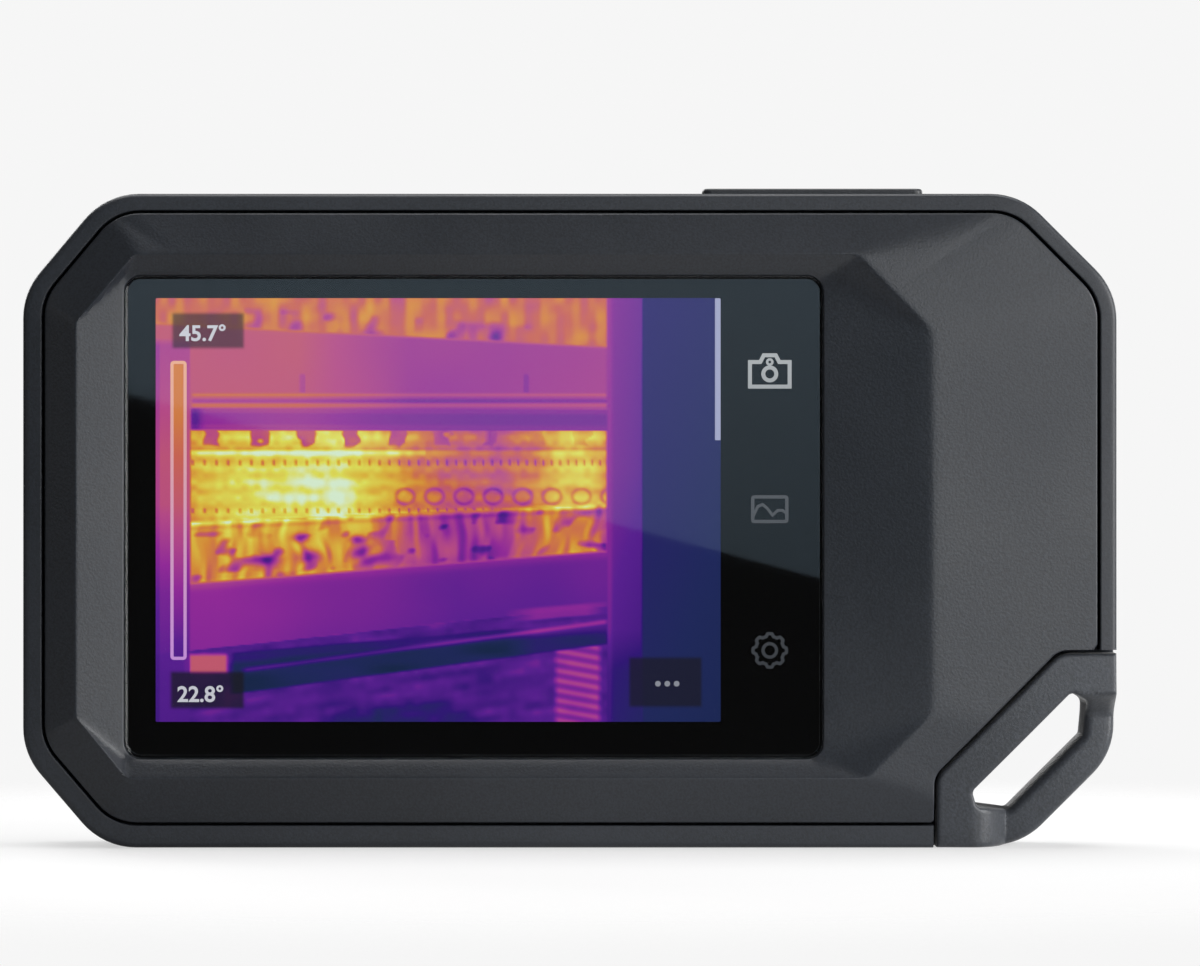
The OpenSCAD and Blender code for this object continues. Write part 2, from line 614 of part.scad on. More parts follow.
module plunger(x) translate([x, 0, plunger_low]) cylinder(r = plunger_r, h = z_flange - flange_t - plunger_low);
module save_plunger() color("white") plunger(save_x);
module power_plunger() color("white") plunger(power_x);

module switch(x) difference() {
    translate([x - switch_size / 2, -switch_size / 2, switch_board_box[1][2]])
        cube([switch_size, switch_size, switch_top - switch_board_box[1][2]]);
    translate([x, 0, plunger_low - 0.7]) cylinder(r = plunger_r + bore_gap, h = 3);
}
module save_switch() color("silver") switch(save_x);
module power_switch() color("silver") switch(power_x);
module button_board() color("darkgreen") block(switch_board_box);

module tripod_insert() color("gold") translate([tripod_at[0], tripod_at[1], 0]) difference() {
    cylinder(r = tripod_insert_r, h = tripod_len);
    translate([0, 0, -poke]) cylinder(r = tripod_r, h = tripod_len + 2 * poke);
}

module wifi_antenna() color("orange") block(antenna_box);
module antenna_cable() color("black") tube(antenna_route, antenna_r);

module case_screws() color("silver") for (at = case_screw_at)
    screw(at, y_grip - case_head_sink, y_case_tip, case_shank_r, case_head_r, case_head_h);
module board_screws() color("silver") for (at = board_screw_at)
    screw(at, board_box[1][1], frame_plate[1][1] + 0.2, small_shank_r, small_head_r, small_head_h);
module frame_screws() color("silver") for (at = frame_screw_at)
    screw(at, frame_plate[1][1], y_cover_in - 1.6, small_shank_r, small_head_r, small_head_h);

rear_cover();
front_cover();
lanyard_loop();
case_seal();
display_glass();
display_gasket();
lcd_panel();
icon_light_guide();
icon_board();
mid_frame();
main_board();
board_chips();
thermal_pad();
shield_can();
display_flex();
battery();
battery_pad();
battery_lead();
usb_receptacle();
usb_flap();
optics_bezel();
lens_ring();
lens_barrel();
ir_lens();
core_housing();
sensor_package();
core_board();
shutter_flag();
shutter_motor();
camera_module();
camera_flex();
camera_window();
torch_led();
torch_lens();
save_button();
power_button();
save_plunger();
power_plunger();
save_switch();
power_switch();
button_board();
tripod_insert();
wifi_antenna();
antenna_cable();
case_screws();
board_screws();
frame_screws();
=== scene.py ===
"""Looks of a pocket thermal imaging camera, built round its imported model.

The camera stands on its bottom edge. X runs across the display to the right, Y from the display
side to the lens side, Z up. Sizes in this file are in millimetres until a mesh is made.
"""

import json
import logging
import math
from dataclasses import dataclass, field
from enum import Enum

import bmesh
import bpy
import numpy as np
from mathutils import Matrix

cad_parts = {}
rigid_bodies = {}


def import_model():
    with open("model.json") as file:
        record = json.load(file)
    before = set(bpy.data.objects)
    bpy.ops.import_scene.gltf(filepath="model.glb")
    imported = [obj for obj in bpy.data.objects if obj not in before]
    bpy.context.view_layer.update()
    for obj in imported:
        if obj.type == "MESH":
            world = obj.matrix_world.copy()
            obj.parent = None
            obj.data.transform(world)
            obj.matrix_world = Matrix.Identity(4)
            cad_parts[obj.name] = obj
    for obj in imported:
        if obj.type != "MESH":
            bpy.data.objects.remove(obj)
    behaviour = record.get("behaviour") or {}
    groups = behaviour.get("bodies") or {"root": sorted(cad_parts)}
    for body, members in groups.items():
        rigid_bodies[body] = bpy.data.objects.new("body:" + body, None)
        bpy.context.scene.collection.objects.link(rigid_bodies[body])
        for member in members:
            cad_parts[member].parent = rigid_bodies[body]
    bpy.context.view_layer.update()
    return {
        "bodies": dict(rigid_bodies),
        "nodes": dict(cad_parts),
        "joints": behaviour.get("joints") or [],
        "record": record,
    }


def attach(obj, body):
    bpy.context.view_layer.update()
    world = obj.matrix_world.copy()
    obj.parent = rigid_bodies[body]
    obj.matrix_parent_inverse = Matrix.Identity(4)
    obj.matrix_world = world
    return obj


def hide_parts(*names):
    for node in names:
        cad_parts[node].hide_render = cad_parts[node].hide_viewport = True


log = logging.getLogger("thermal_camera")

MM = 0.001  # metres in a millimetre
SMOOTH_UNDER = math.radians(32)  # edges that turn more than this stay sharp
NEAR = 0.004 * MM  # points closer than this are one point
LEAST_RADIUS = 0.03
BEARING_STEP = 0.0022  # bearings closer than this, in radians, are one bearing


class Axis(Enum):
    """The direction in which a stack of outlines rises, and where each coordinate goes."""

    X = (2, 0, 1)
    Y = (0, 2, 1)
    Z = (0, 1, 2)


# ---------------------------------------------------------------------------------------------
# Outlines and surfaces


def unit(vectors: np.ndarray) -> np.ndarray:
    """Vectors divided by their own lengths."""
    return vectors / np.linalg.norm(vectors, axis=-1, keepdims=True)


def ring_of(sides: int) -> np.ndarray:
    """Unit vectors at even bearings all the way round."""
    angle = np.linspace(0, 2 * np.pi, sides, endpoint=False)
    return np.stack([np.cos(angle), np.sin(angle)], 1)


@dataclass(frozen=True)
class Outline:
    """A closed outline with round corners, anticlockwise, in the two axes that it lies in.

    Args:
        corners: the sharp corners, as an array of shape (n, 2).
        radii: one radius for all the corners, or one for each.
    """

    corners: np.ndarray
    radii: float | np.ndarray = LEAST_RADIUS

    @classmethod
    def rectangle(cls, box: tuple[float, float, float, float], radius: float) -> "Outline":
        """Outline of a box given as left, right, bottom and top."""
        left, right, low, high = box
        return cls(np.array([[left, low], [right, low], [right, high], [left, high]], float), radius)

    @classmethod
    def octagon(cls, box: tuple[float, float, float, float], legs: tuple, radius: float) -> "Outline":
        """Outline of a box whose corners are cut.

        Args:
            box: left, right, bottom and top.
            legs: how much each cut takes off across and up, from bottom left anticlockwise.
            radius: of the eight corners that result.

        Returns:
            The outline.
        """
        left, right, low, high = box
        (ax, az), (bx, bz), (cx, cz), (dx, dz) = legs
        corners = [[left + ax, low], [right - bx, low], [right, low + bz], [right, high - cz],
                   [right - cx, high], [left + dx, high], [left, high - dz], [left, low + az]]
        return cls(np.array(corners, float), radius)

    @classmethod
    def circle(cls, centre: tuple[float, float], radius: float, sides: int = 64) -> "Outline":
        """Outline of a circle, as a polygon of that many sides."""
        return cls(np.array(centre) + radius * ring_of(sides), LEAST_RADIUS)

    def edge_normals(self) -> np.ndarray:
        """Inward normal of the edge that leaves each corner."""
        edge = unit(np.roll(self.corners, -1, axis=0) - self.corners)
        return np.stack([-edge[:, 1], edge[:, 0]], 1)

    def inset(self, depth: float) -> "Outline":
        """This outline drawn in by a depth all round, or out where the depth is negative.

        Each corner moves by depth (n + m) / (1 + n.m), n and m being the inward normals of its two
        edges; the radius of a convex corner falls by the depth and that of a hollow one grows.

        Args:
            depth: how far the edges move inwards.

        Returns:
            The new outline.
        """
        normal = self.edge_normals()
        before = np.roll(normal, 1, axis=0)
        share = 1 + (normal * before).sum(1)
        turn = np.sign(before[:, 0] * normal[:, 1] - before[:, 1] * normal[:, 0])
        moved = self.corners + depth * (normal + before) / share[:, None]
        return Outline(moved, np.maximum(self.radii - depth * turn, LEAST_RADIUS))

    def points(self, steps: int = 8) -> np.ndarray:
        """Points along the outline, with an arc of that many steps at each corner.

        The arc's centre is on the corner's bisector, at radius / sin(half the corner's angle).

        Args:
            steps: how many edges each corner's arc has.

        Returns:
            The points, as an array of shape (corners * (steps + 1), 2).
        """
        corner = self.corners
        back = unit(np.roll(corner, 1, axis=0) - corner)
        ahead = unit(np.roll(corner, -1, axis=0) - corner)
        half = np.arccos(np.clip((back * ahead).sum(1), -1, 1)) / 2
        half = np.minimum(half, np.pi / 2 - 1e-6)
        radius = np.broadcast_to(self.radii, len(corner))
        centre = corner + unit(back + ahead + 1e-12) * (radius / np.sin(half))[:, None]
        first = corner + back * (radius / np.tan(half))[:, None] - centre
        start = np.arctan2(first[:, 1], first[:, 0])
        side = np.sign(ahead[:, 0] * back[:, 1] - ahead[:, 1] * back[:, 0])
        angle = start[:, None] + (side * (np.pi - 2 * half))[:, None] * np.linspace(0, 1, steps + 1)
        arc = np.stack([np.cos(angle), np.sin(angle)], -1) * radius[:, None, None]
        return (centre[:, None] + arc).reshape(-1, 2)


def spread_out(points: np.ndarray, spacing: float) -> np.ndarray:
    """Points at even steps along a closed line.

    Args:
        points: the line's own points.
        spacing: the step, about.

    Returns:
        The points at even steps.
    """
    closed = np.vstack([points, points[:1]])
    length = np.concatenate([[0], np.cumsum(np.linalg.norm(np.diff(closed, axis=0), axis=1))])
    at = np.linspace(0, length[-1], max(8, int(length[-1] / spacing)), endpoint=False)
    return np.stack([np.interp(at, length, closed[:, k]) for k in (0, 1)], 1)


@dataclass(frozen=True)
class Compass:
    """A centre and the bearings from it at which several outlines are read.

    Rings that are read at the same bearings have matching points, so they can be joined.
    """

    centre: np.ndarray
    bearings: np.ndarray

    @classmethod
    def over(cls, centre: tuple[float, float], spacing: float, *outlines: Outline) -> "Compass":
        """Bearings to the corners of several outlines, and at even steps along the first.

        Args:
            centre: a point that sees the whole of each outline.
            spacing: step along the first outline.
            outlines: the outlines.

        Returns:
            The compass.
        """
        middle = np.array(centre, float)
        seen = [spread_out(outlines[0].points(), spacing)] + [o.points() for o in outlines]
        rel = np.concatenate(seen) - middle
        angle = np.arctan2(rel[:, 1], rel[:, 0])
        steps = np.unique(np.round(angle / BEARING_STEP))
        return cls(middle, steps * BEARING_STEP)

    def reach(self, outline: Outline) -> np.ndarray:
        """Distance to the outline at each bearing.

        For a ray along d and an edge from a to b the distance is (a x e) / (d x e), e being b - a.

        Args:
            outline: an outline that can be seen whole from the centre.

        Returns:
            The distances.
        """
        rel = outline.points() - self.centre
        angle = np.arctan2(rel[:, 1], rel[:, 0])
        order = np.argsort(angle, kind="stable")
        rel, angle = rel[order], angle[order]
        after = np.searchsorted(angle, self.bearings) % len(angle)
        start, edge = rel[after - 1], rel[after] - rel[after - 1]
        ray = self.rays()
        return (start[:, 0] * edge[:, 1] - start[:, 1] * edge[:, 0]) / (
            ray[:, 0] * edge[:, 1] - ray[:, 1] * edge[:, 0]
        )

    def rays(self) -> np.ndarray:
        """Unit vector along each bearing."""
        return np.stack([np.cos(self.bearings), np.sin(self.bearings)], 1)

    def at(self, reach: np.ndarray) -> np.ndarray:
        """Points at those distances along the bearings."""
        return self.centre + self.rays() * reach[:, None]


def raised(flat: np.ndarray, height: float | np.ndarray, axis: Axis = Axis.Y) -> np.ndarray:
    """Ring of 3-D points from points in a plane and their height along the axis."""
    level = np.broadcast_to(np.asarray(height, float), len(flat))
    local = np.column_stack([flat, level])
    return local[:, list(axis.value)]


def filleted(rings: list[np.ndarray], radii: list[float], closed: bool, steps: int = 5) -> list[np.ndarray]:
    """Rounds the section that a row of rings makes.

    At a ring with a radius, the section leaves the straight line that far from the ring and follows
    the curve (1-t)^2 a + 2t(1-t) p + t^2 b from one side a to the other side b, p being the ring.

    Args:
        rings: control rings in order along the section.
        radii: the radius at each ring, 0 for a sharp one.
        closed: whether the last ring joins the first.
        steps: how many edges each rounding has.

    Returns:
        The rings of the rounded section.
    """
    made = []
    t = np.linspace(0, 1, steps + 1)[:, None, None]
    for k, (ring, radius) in enumerate(zip(rings, radii)):
        at_end = not closed and k in (0, len(rings) - 1)
        if radius == 0 or at_end:
            made.append(ring)
            continue
        back, ahead = rings[k - 1] - ring, rings[(k + 1) % len(rings)] - ring
        share = [
            np.minimum(radius / np.maximum(np.linalg.norm(v, axis=1, keepdims=True), 1e-9), 0.5)
            for v in (back, ahead)
        ]
        a, b = ring + back * share[0], ring + ahead * share[1]
        made.extend((1 - t) ** 2 * a + 2 * t * (1 - t) * ring + t**2 * b)
    return made


class Shell:
    """Points and faces of a piece while it is put together, in millimetres."""

    def __init__(self) -> None:
        """Starts with nothing."""
        self.points: list[np.ndarray] = []
        self.faces: list[list[int]] = []
        self.count = 0

    def add(self, points: np.ndarray, faces: list[list[int]]) -> "Shell":
        """Adds points, and faces that count from the first of them."""
        start = self.count
        self.points.append(np.asarray(points, float).reshape(-1, 3))
        self.faces.extend([[start + i for i in face] for face in faces])
        self.count += len(self.points[-1])
        return self

    def include(self, other: "Shell") -> "Shell":
        """Adds all of another shell."""
        return self.add(np.concatenate(other.points), other.faces)

    def add_rings(self, rings: list[np.ndarray], closed: bool = False) -> "Shell":
        """Adds a surface through rings of matching points.

        Args:
            rings: the rings, in order.
            closed: whether the last ring joins the first. If not, each end ring gets a flat cap.

        Returns:
            This shell.
        """
        rows, columns = len(rings), len(rings[0])
        index = np.arange(rows * columns).reshape(rows, columns)
        across = np.roll(index, -1, axis=1)
        if closed:
            quads = [index, across, np.roll(across, -1, axis=0), np.roll(index, -1, axis=0)]
        else:
            quads = [index[:-1], across[:-1], across[1:], index[1:]]
        faces = np.stack(quads, -1).reshape(-1, 4).tolist()
        if not closed:
            faces += [index[0, ::-1].tolist(), index[-1].tolist()]
        return self.add(np.concatenate(rings), faces)

    def add_turned(self, profile: list[tuple[float, float]], at: tuple[float, float], sides: int = 64,
                   axis: Axis = Axis.Y, closed: bool = False, radii: list[float] | None = None) -> "Shell":
        """Adds a profile of (radius, height) turned about a line along the axis.

        Args:
            profile: the points of the profile.
            at: where the line is, in the two other axes.
            sides: how many sides the turned shape has.
            axis: the direction of the line.
            closed: whether the last point joins the first, as in a tube.
            radii: rounding at each point of the profile.

        Returns:
            This shell.
        """
        circle = ring_of(sides)
        rings = [raised(np.array(at) + r * circle, h, axis) for r, h in profile]
        if radii is not None:
            rings = filleted(rings, radii, closed, 3)
        return self.add_rings(rings, closed)

    def add_stack(self, outlines: list[Outline], heights: list[float], radii: list[float],
                  axis: Axis = Axis.Y, steps: int = 4) -> "Shell":
        """Adds a solid stacked from outlines of matching corners, with rounded edges.

        Args:
            outlines: the outlines, in order.
            heights: the height of each.
            radii: the rounding of the section at each.
            axis: the direction in which they are stacked.
            steps: how many edges each rounding has.

        Returns:
            This shell.
        """
        rings = [raised(o.points(), h, axis) for o, h in zip(outlines, heights)]
        return self.add_rings(filleted(rings, radii, False, steps))

    def mesh(self, name: str) -> bpy.types.Mesh:
        """Makes the mesh, in metres, with doubles merged and faces turned outwards."""
        mesh = bpy.data.meshes.new(name)
        mesh.from_pydata((np.concatenate(self.points) * MM).tolist(), [], self.faces)
        tidy_mesh(mesh)
        return mesh


def tidy_mesh(mesh: bpy.types.Mesh, merge: bool = True, turn: bool = True) -> None:
    """Cleans a mesh in place.

    Args:
        mesh: the mesh.
        merge: whether doubles are merged and faces with no area dropped.
        turn: whether faces are turned outwards.
    """
    work = bmesh.new()
    work.from_mesh(mesh)
    if merge:
        bmesh.ops.remove_doubles(work, verts=work.verts, dist=NEAR)
        bmesh.ops.dissolve_degenerate(work, edges=work.edges, dist=NEAR)
    if turn:
        bmesh.ops.recalc_face_normals(work, faces=work.faces)
    work.to_mesh(mesh)
    work.free()


def as_object(shell: Shell | bpy.types.Mesh, name: str) -> bpy.types.Object:
    """Object at the origin that holds a shell or a mesh."""
    mesh = shell.mesh(name) if isinstance(shell, Shell) else shell
    thing = bpy.data.objects.new(name, mesh)
    bpy.context.scene.collection.objects.link(thing)
    return thing


def cut(piece: bpy.types.Object, cutters: list[Shell]) -> bpy.types.Object:
    """Cuts solids out of a piece, one after another.

    Args:
        piece: the piece.
        cutters: the solids.

    Returns:
        The piece, with its mesh replaced by the result.
    """
    tools = [as_object(shell, f"{piece.name}_cutter_{k}") for k, shell in enumerate(cutters)]
    for tool in tools:
        step = piece.modifiers.new("cut", "BOOLEAN")
        step.object, step.operation, step.solver = tool, "DIFFERENCE", "EXACT"
    bpy.context.view_layer.update()
    graph = bpy.context.evaluated_depsgraph_get()
    result = bpy.data.meshes.new_from_object(piece.evaluated_get(graph))
    piece.modifiers.clear()
    piece.data = result
    for tool in tools:
        bpy.data.objects.remove(tool)
    tidy_mesh(result, turn=False)
    return piece


@dataclass(frozen=True)
class Part:
    """What a new piece stands for and how it moves."""

    name: str
    slot: str
    body: str = "root"
    nodes: tuple[str, ...] = ()

    def place(self, source: Shell | bpy.types.Mesh | bpy.types.Object,
              material: bpy.types.Material) -> bpy.types.Object:
        """Shades and dresses the piece, ties it to its body and reports it.

        Args:
            source: a shell, a mesh or a finished object.
            material: the piece's material.

        Returns:
            The piece.
        """
        piece = source if isinstance(source, bpy.types.Object) else as_object(source, self.name)
        piece.name = piece.data.name = self.name
        piece.data.materials.clear()
        piece.data.materials.append(material)
        piece.data.shade_smooth()
        piece.data.set_sharp_from_angle(angle=SMOOTH_UNDER)
        even = piece.modifiers.new("even_normals", "WEIGHTED_NORMAL")
        even.keep_sharp, even.weight = True, 60
        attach(piece, self.body)
        if self.nodes:
            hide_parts(*self.nodes)
        log.info("%s: %d faces on %s", self.name, len(piece.data.polygons), self.body)
        return piece


# ---------------------------------------------------------------------------------------------
# Finishes


def linear(colour: str) -> tuple[float, float, float, float]:
    """Linear colour from an sRGB hex value, ((c + 0.055) / 1.055) ^ 2.4 above 0.04045."""
    parts = [int(colour[i : i + 2], 16) / 255 for i in (1, 3, 5)]
    return (*[c / 12.92 if c <= 0.04045 else ((c + 0.055) / 1.055) ** 2.4 for c in parts], 1.0)


def add_node(tree: bpy.types.NodeTree, kind: str, inputs: dict | None = None, **settings) -> bpy.types.Node:
    """Adds a node with its settings and its inputs.

    Args:
        tree: where it goes.
        kind: Blender's name of the node.
        inputs: for each input's name or number, a value, or the output that feeds it.
        settings: the node's own properties.

    Returns:
        The node.
    """
    node = tree.nodes.new(kind)
    for key, value in settings.items():
        setattr(node, key, value)
    for key, value in (inputs or {}).items():
        if isinstance(value, bpy.types.NodeSocket):
            tree.links.new(value, node.inputs[key])
        else:
            node.inputs[key].default_value = value
    return node


def blank_material(name: str) -> tuple[bpy.types.Material, bpy.types.NodeTree]:
    """A material with no nodes yet, and its node tree."""
    material = bpy.data.materials.new(name)
    material.use_nodes = True
    material.node_tree.nodes.clear()
    return material, material.node_tree


def colour_steps(ramp: bpy.types.ColorRamp, stops: list[tuple[float, str]]) -> None:
    """Sets the stops of a colour ramp from places and hex values."""
    for element, (place, colour) in zip(ramp.elements, (stops[0], stops[-1])):
        element.position, element.color = place, linear(colour)
    for place, colour in stops[1:-1]:
        ramp.elements.new(place).color = linear(colour)


def per_metre(size_mm: float) -> float:
    """Texture scale that makes one feature of the pattern about that many millimetres."""
    return 1 / (size_mm * MM)


@dataclass(frozen=True)
class Finish:
    """A material with a mottled colour, a varying roughness and a grain that stands off the surface."""

    name: str
    dark: str
    light: str
    roughness: tuple[float, float] = (0.45, 0.6)
    metallic: float = 0.0
    ior: float = 1.5
    mottle_mm: float = 12.0
    grain_mm: float = 0.35
    grain_depth_mm: float = 0.01
    stretch: tuple[float, float, float] = (1.0, 1.0, 1.0)
    coat: float = 0.0
    sheen: float = 0.0
    specular: float = 0.5
    extra: dict = field(default_factory=dict)

    def build(self) -> bpy.types.Material:
        """Builds the material: cloudy noise for the colour and the gloss, fine noise for the grain."""
        material, tree = blank_material(self.name)
        place = add_node(tree, "ShaderNodeTexCoord").outputs["Object"]
        drawn = add_node(tree, "ShaderNodeMapping", {"Vector": place, "Scale": self.stretch}).outputs[0]
        clouds = add_node(tree, "ShaderNodeTexNoise",
                          {"Vector": drawn, "Scale": per_metre(self.mottle_mm), "Detail": 3.0})
        grain = add_node(tree, "ShaderNodeTexNoise",
                         {"Vector": drawn, "Scale": per_metre(self.grain_mm), "Detail": 2.0})
        relief = add_node(tree, "ShaderNodeMapRange",
                          {"Value": grain.outputs["Fac"], "From Min": 0.3, "From Max": 0.7}).outputs[0]
        tint = add_node(tree, "ShaderNodeMix", {"Factor": 0.45, "A": clouds.outputs["Fac"], "B": relief})
        ramp = add_node(tree, "ShaderNodeValToRGB", {"Fac": tint.outputs[0]})
        colour_steps(ramp.color_ramp, [(0.3, self.dark), (0.7, self.light)])
        rough = add_node(tree, "ShaderNodeMapRange",
                         {"Value": clouds.outputs["Fac"], "From Min": 0.35, "From Max": 0.65,
                          "To Min": self.roughness[0], "To Max": self.roughness[1]})
        bump = add_node(tree, "ShaderNodeBump",
                        {"Height": relief, "Distance": self.grain_depth_mm * MM, "Strength": 1.0})
        shader = add_node(tree, "ShaderNodeBsdfPrincipled",
                          {"Base Color": ramp.outputs["Color"], "Roughness": rough.outputs[0],
                           "Normal": bump.outputs["Normal"], "Metallic": self.metallic, "IOR": self.ior,
                           "Coat Weight": self.coat, "Sheen Weight": self.sheen,
                           "Specular IOR Level": self.specular, **self.extra})
        add_node(tree, "ShaderNodeOutputMaterial", {"Surface": shader.outputs[0]})
        return material


@dataclass(frozen=True)
class CoverGlass:
    """Chemically strengthened glass, polished on both faces: clear, with mirror gloss."""

    name: str = "strengthened_cover_glass"

    def build(self) -> bpy.types.Material:
        """Builds clear glass whose gloss varies a little, as on a wiped screen."""
        material, tree = blank_material(self.name)
        place = add_node(tree, "ShaderNodeTexCoord").outputs["Object"]
        wipes = add_node(tree, "ShaderNodeTexNoise", {"Vector": place, "Scale": per_metre(25), "Detail": 4.0})
        rough = add_node(tree, "ShaderNodeMapRange",
                         {"Value": wipes.outputs["Fac"], "To Min": 0.0, "To Max": 0.03})
        shader = add_node(tree, "ShaderNodeBsdfPrincipled",
                          {"Base Color": linear("#fbfdfd"), "Roughness": rough.outputs[0], "IOR": 1.5,
                           "Transmission Weight": 1.0})
        add_node(tree, "ShaderNodeOutputMaterial", {"Surface": shader.outputs[0]})
        return material


@dataclass(frozen=True)
class Lit:
    """Something that glows in one colour, or from one colour at the bottom to another at the top.

    The colour runs over heights along Z, in millimetres.
    """

    name: str
    low: str
    high: str
    heights: tuple[float, float] = (0.0, 82.0)
    strength: float = 1.0

    def build(self) -> bpy.types.Material:
        """Builds the glowing material."""
        material, tree = blank_material(self.name)
        place = add_node(tree, "ShaderNodeTexCoord").outputs["Object"]
        up = add_node(tree, "ShaderNodeSeparateXYZ", {0: place}).outputs["Z"]
        share = add_node(tree, "ShaderNodeMapRange",
                         {"Value": up, "From Min": self.heights[0] * MM, "From Max": self.heights[1] * MM})
        ramp = add_node(tree, "ShaderNodeValToRGB", {"Fac": share.outputs[0]})
        colour_steps(ramp.color_ramp, [(0.0, self.low), (1.0, self.high)])
        shader = add_node(tree, "ShaderNodeBsdfPrincipled",
                          {"Base Color": linear("#050505"), "Roughness": 0.6, "Specular IOR Level": 0.0,
                           "Emission Color": ramp.outputs["Color"], "Emission Strength": self.strength})
        add_node(tree, "ShaderNodeOutputMaterial", {"Surface": shader.outputs[0]})
        return material


@dataclass(frozen=True)
class HeatPicture:
    """A lit panel: the heat held by the mesh is read through the false-colour palette."""

    name: str = "lit_false_colour_panel"
    palette: tuple = (
        (0.00, "#0c2539"), (0.10, "#1e285c"), (0.20, "#311478"), (0.32, "#5c1f94"), (0.44, "#962a9c"),
        (0.55, "#bb4b8a"), (0.64, "#cf6656"), (0.72, "#dc8b3a"), (0.82, "#e2bd42"), (0.91, "#e4e25c"),
        (1.00, "#dcf2d4"),
    )

    def build(self) -> bpy.types.Material:
        """Builds the panel's material from the attributes "warmth" and "shade"."""
        material, tree = blank_material(self.name)
        heat = add_node(tree, "ShaderNodeAttribute", attribute_name="warmth").outputs["Fac"]
        shade = add_node(tree, "ShaderNodeAttribute", attribute_name="shade").outputs["Fac"]
        ramp = add_node(tree, "ShaderNodeValToRGB", {"Fac": heat})
        colour_steps(ramp.color_ramp, list(self.palette))
        dimmed = add_node(tree, "ShaderNodeMix", {0: shade, 6: ramp.outputs["Color"], 7: linear("#1b1a22")},
                          data_type="RGBA").outputs[2]
        shader = add_node(tree, "ShaderNodeBsdfPrincipled",
                          {"Base Color": linear("#020203"), "Roughness": 0.6, "Specular IOR Level": 0.0,
                           "Emission Color": dimmed, "Emission Strength": 1.0})
        add_node(tree, "ShaderNodeOutputMaterial", {"Surface": shader.outputs[0]})
        return material


@dataclass(frozen=True)
class CircuitBoard:
    """Glass-epoxy laminate under green solder mask, with tracks showing faintly through it."""

    name: str = "solder_masked_laminate"

    def build(self) -> bpy.types.Material:
        """Builds the board: a brick pattern of tracks 0.4 mm apart under a glossy green."""
        material, tree = blank_material(self.name)
        place = add_node(tree, "ShaderNodeTexCoord").outputs["Object"]
        turned = add_node(tree, "ShaderNodeMapping", {"Vector": place, "Rotation": (math.pi / 2, 0, 0)})
        tracks = add_node(tree, "ShaderNodeTexBrick",
                          {"Vector": turned.outputs[0], "Color1": linear("#0c3a20"),
                           "Color2": linear("#0f4526"), "Mortar": linear("#1d6a3c"),
                           "Scale": per_metre(3.2), "Mortar Size": 0.04})
        shader = add_node(tree, "ShaderNodeBsdfPrincipled",
                          {"Base Color": tracks.outputs["Color"], "Roughness": 0.32, "IOR": 1.55,
                           "Coat Weight": 0.3})
        add_node(tree, "ShaderNodeOutputMaterial", {"Surface": shader.outputs[0]})
        return material


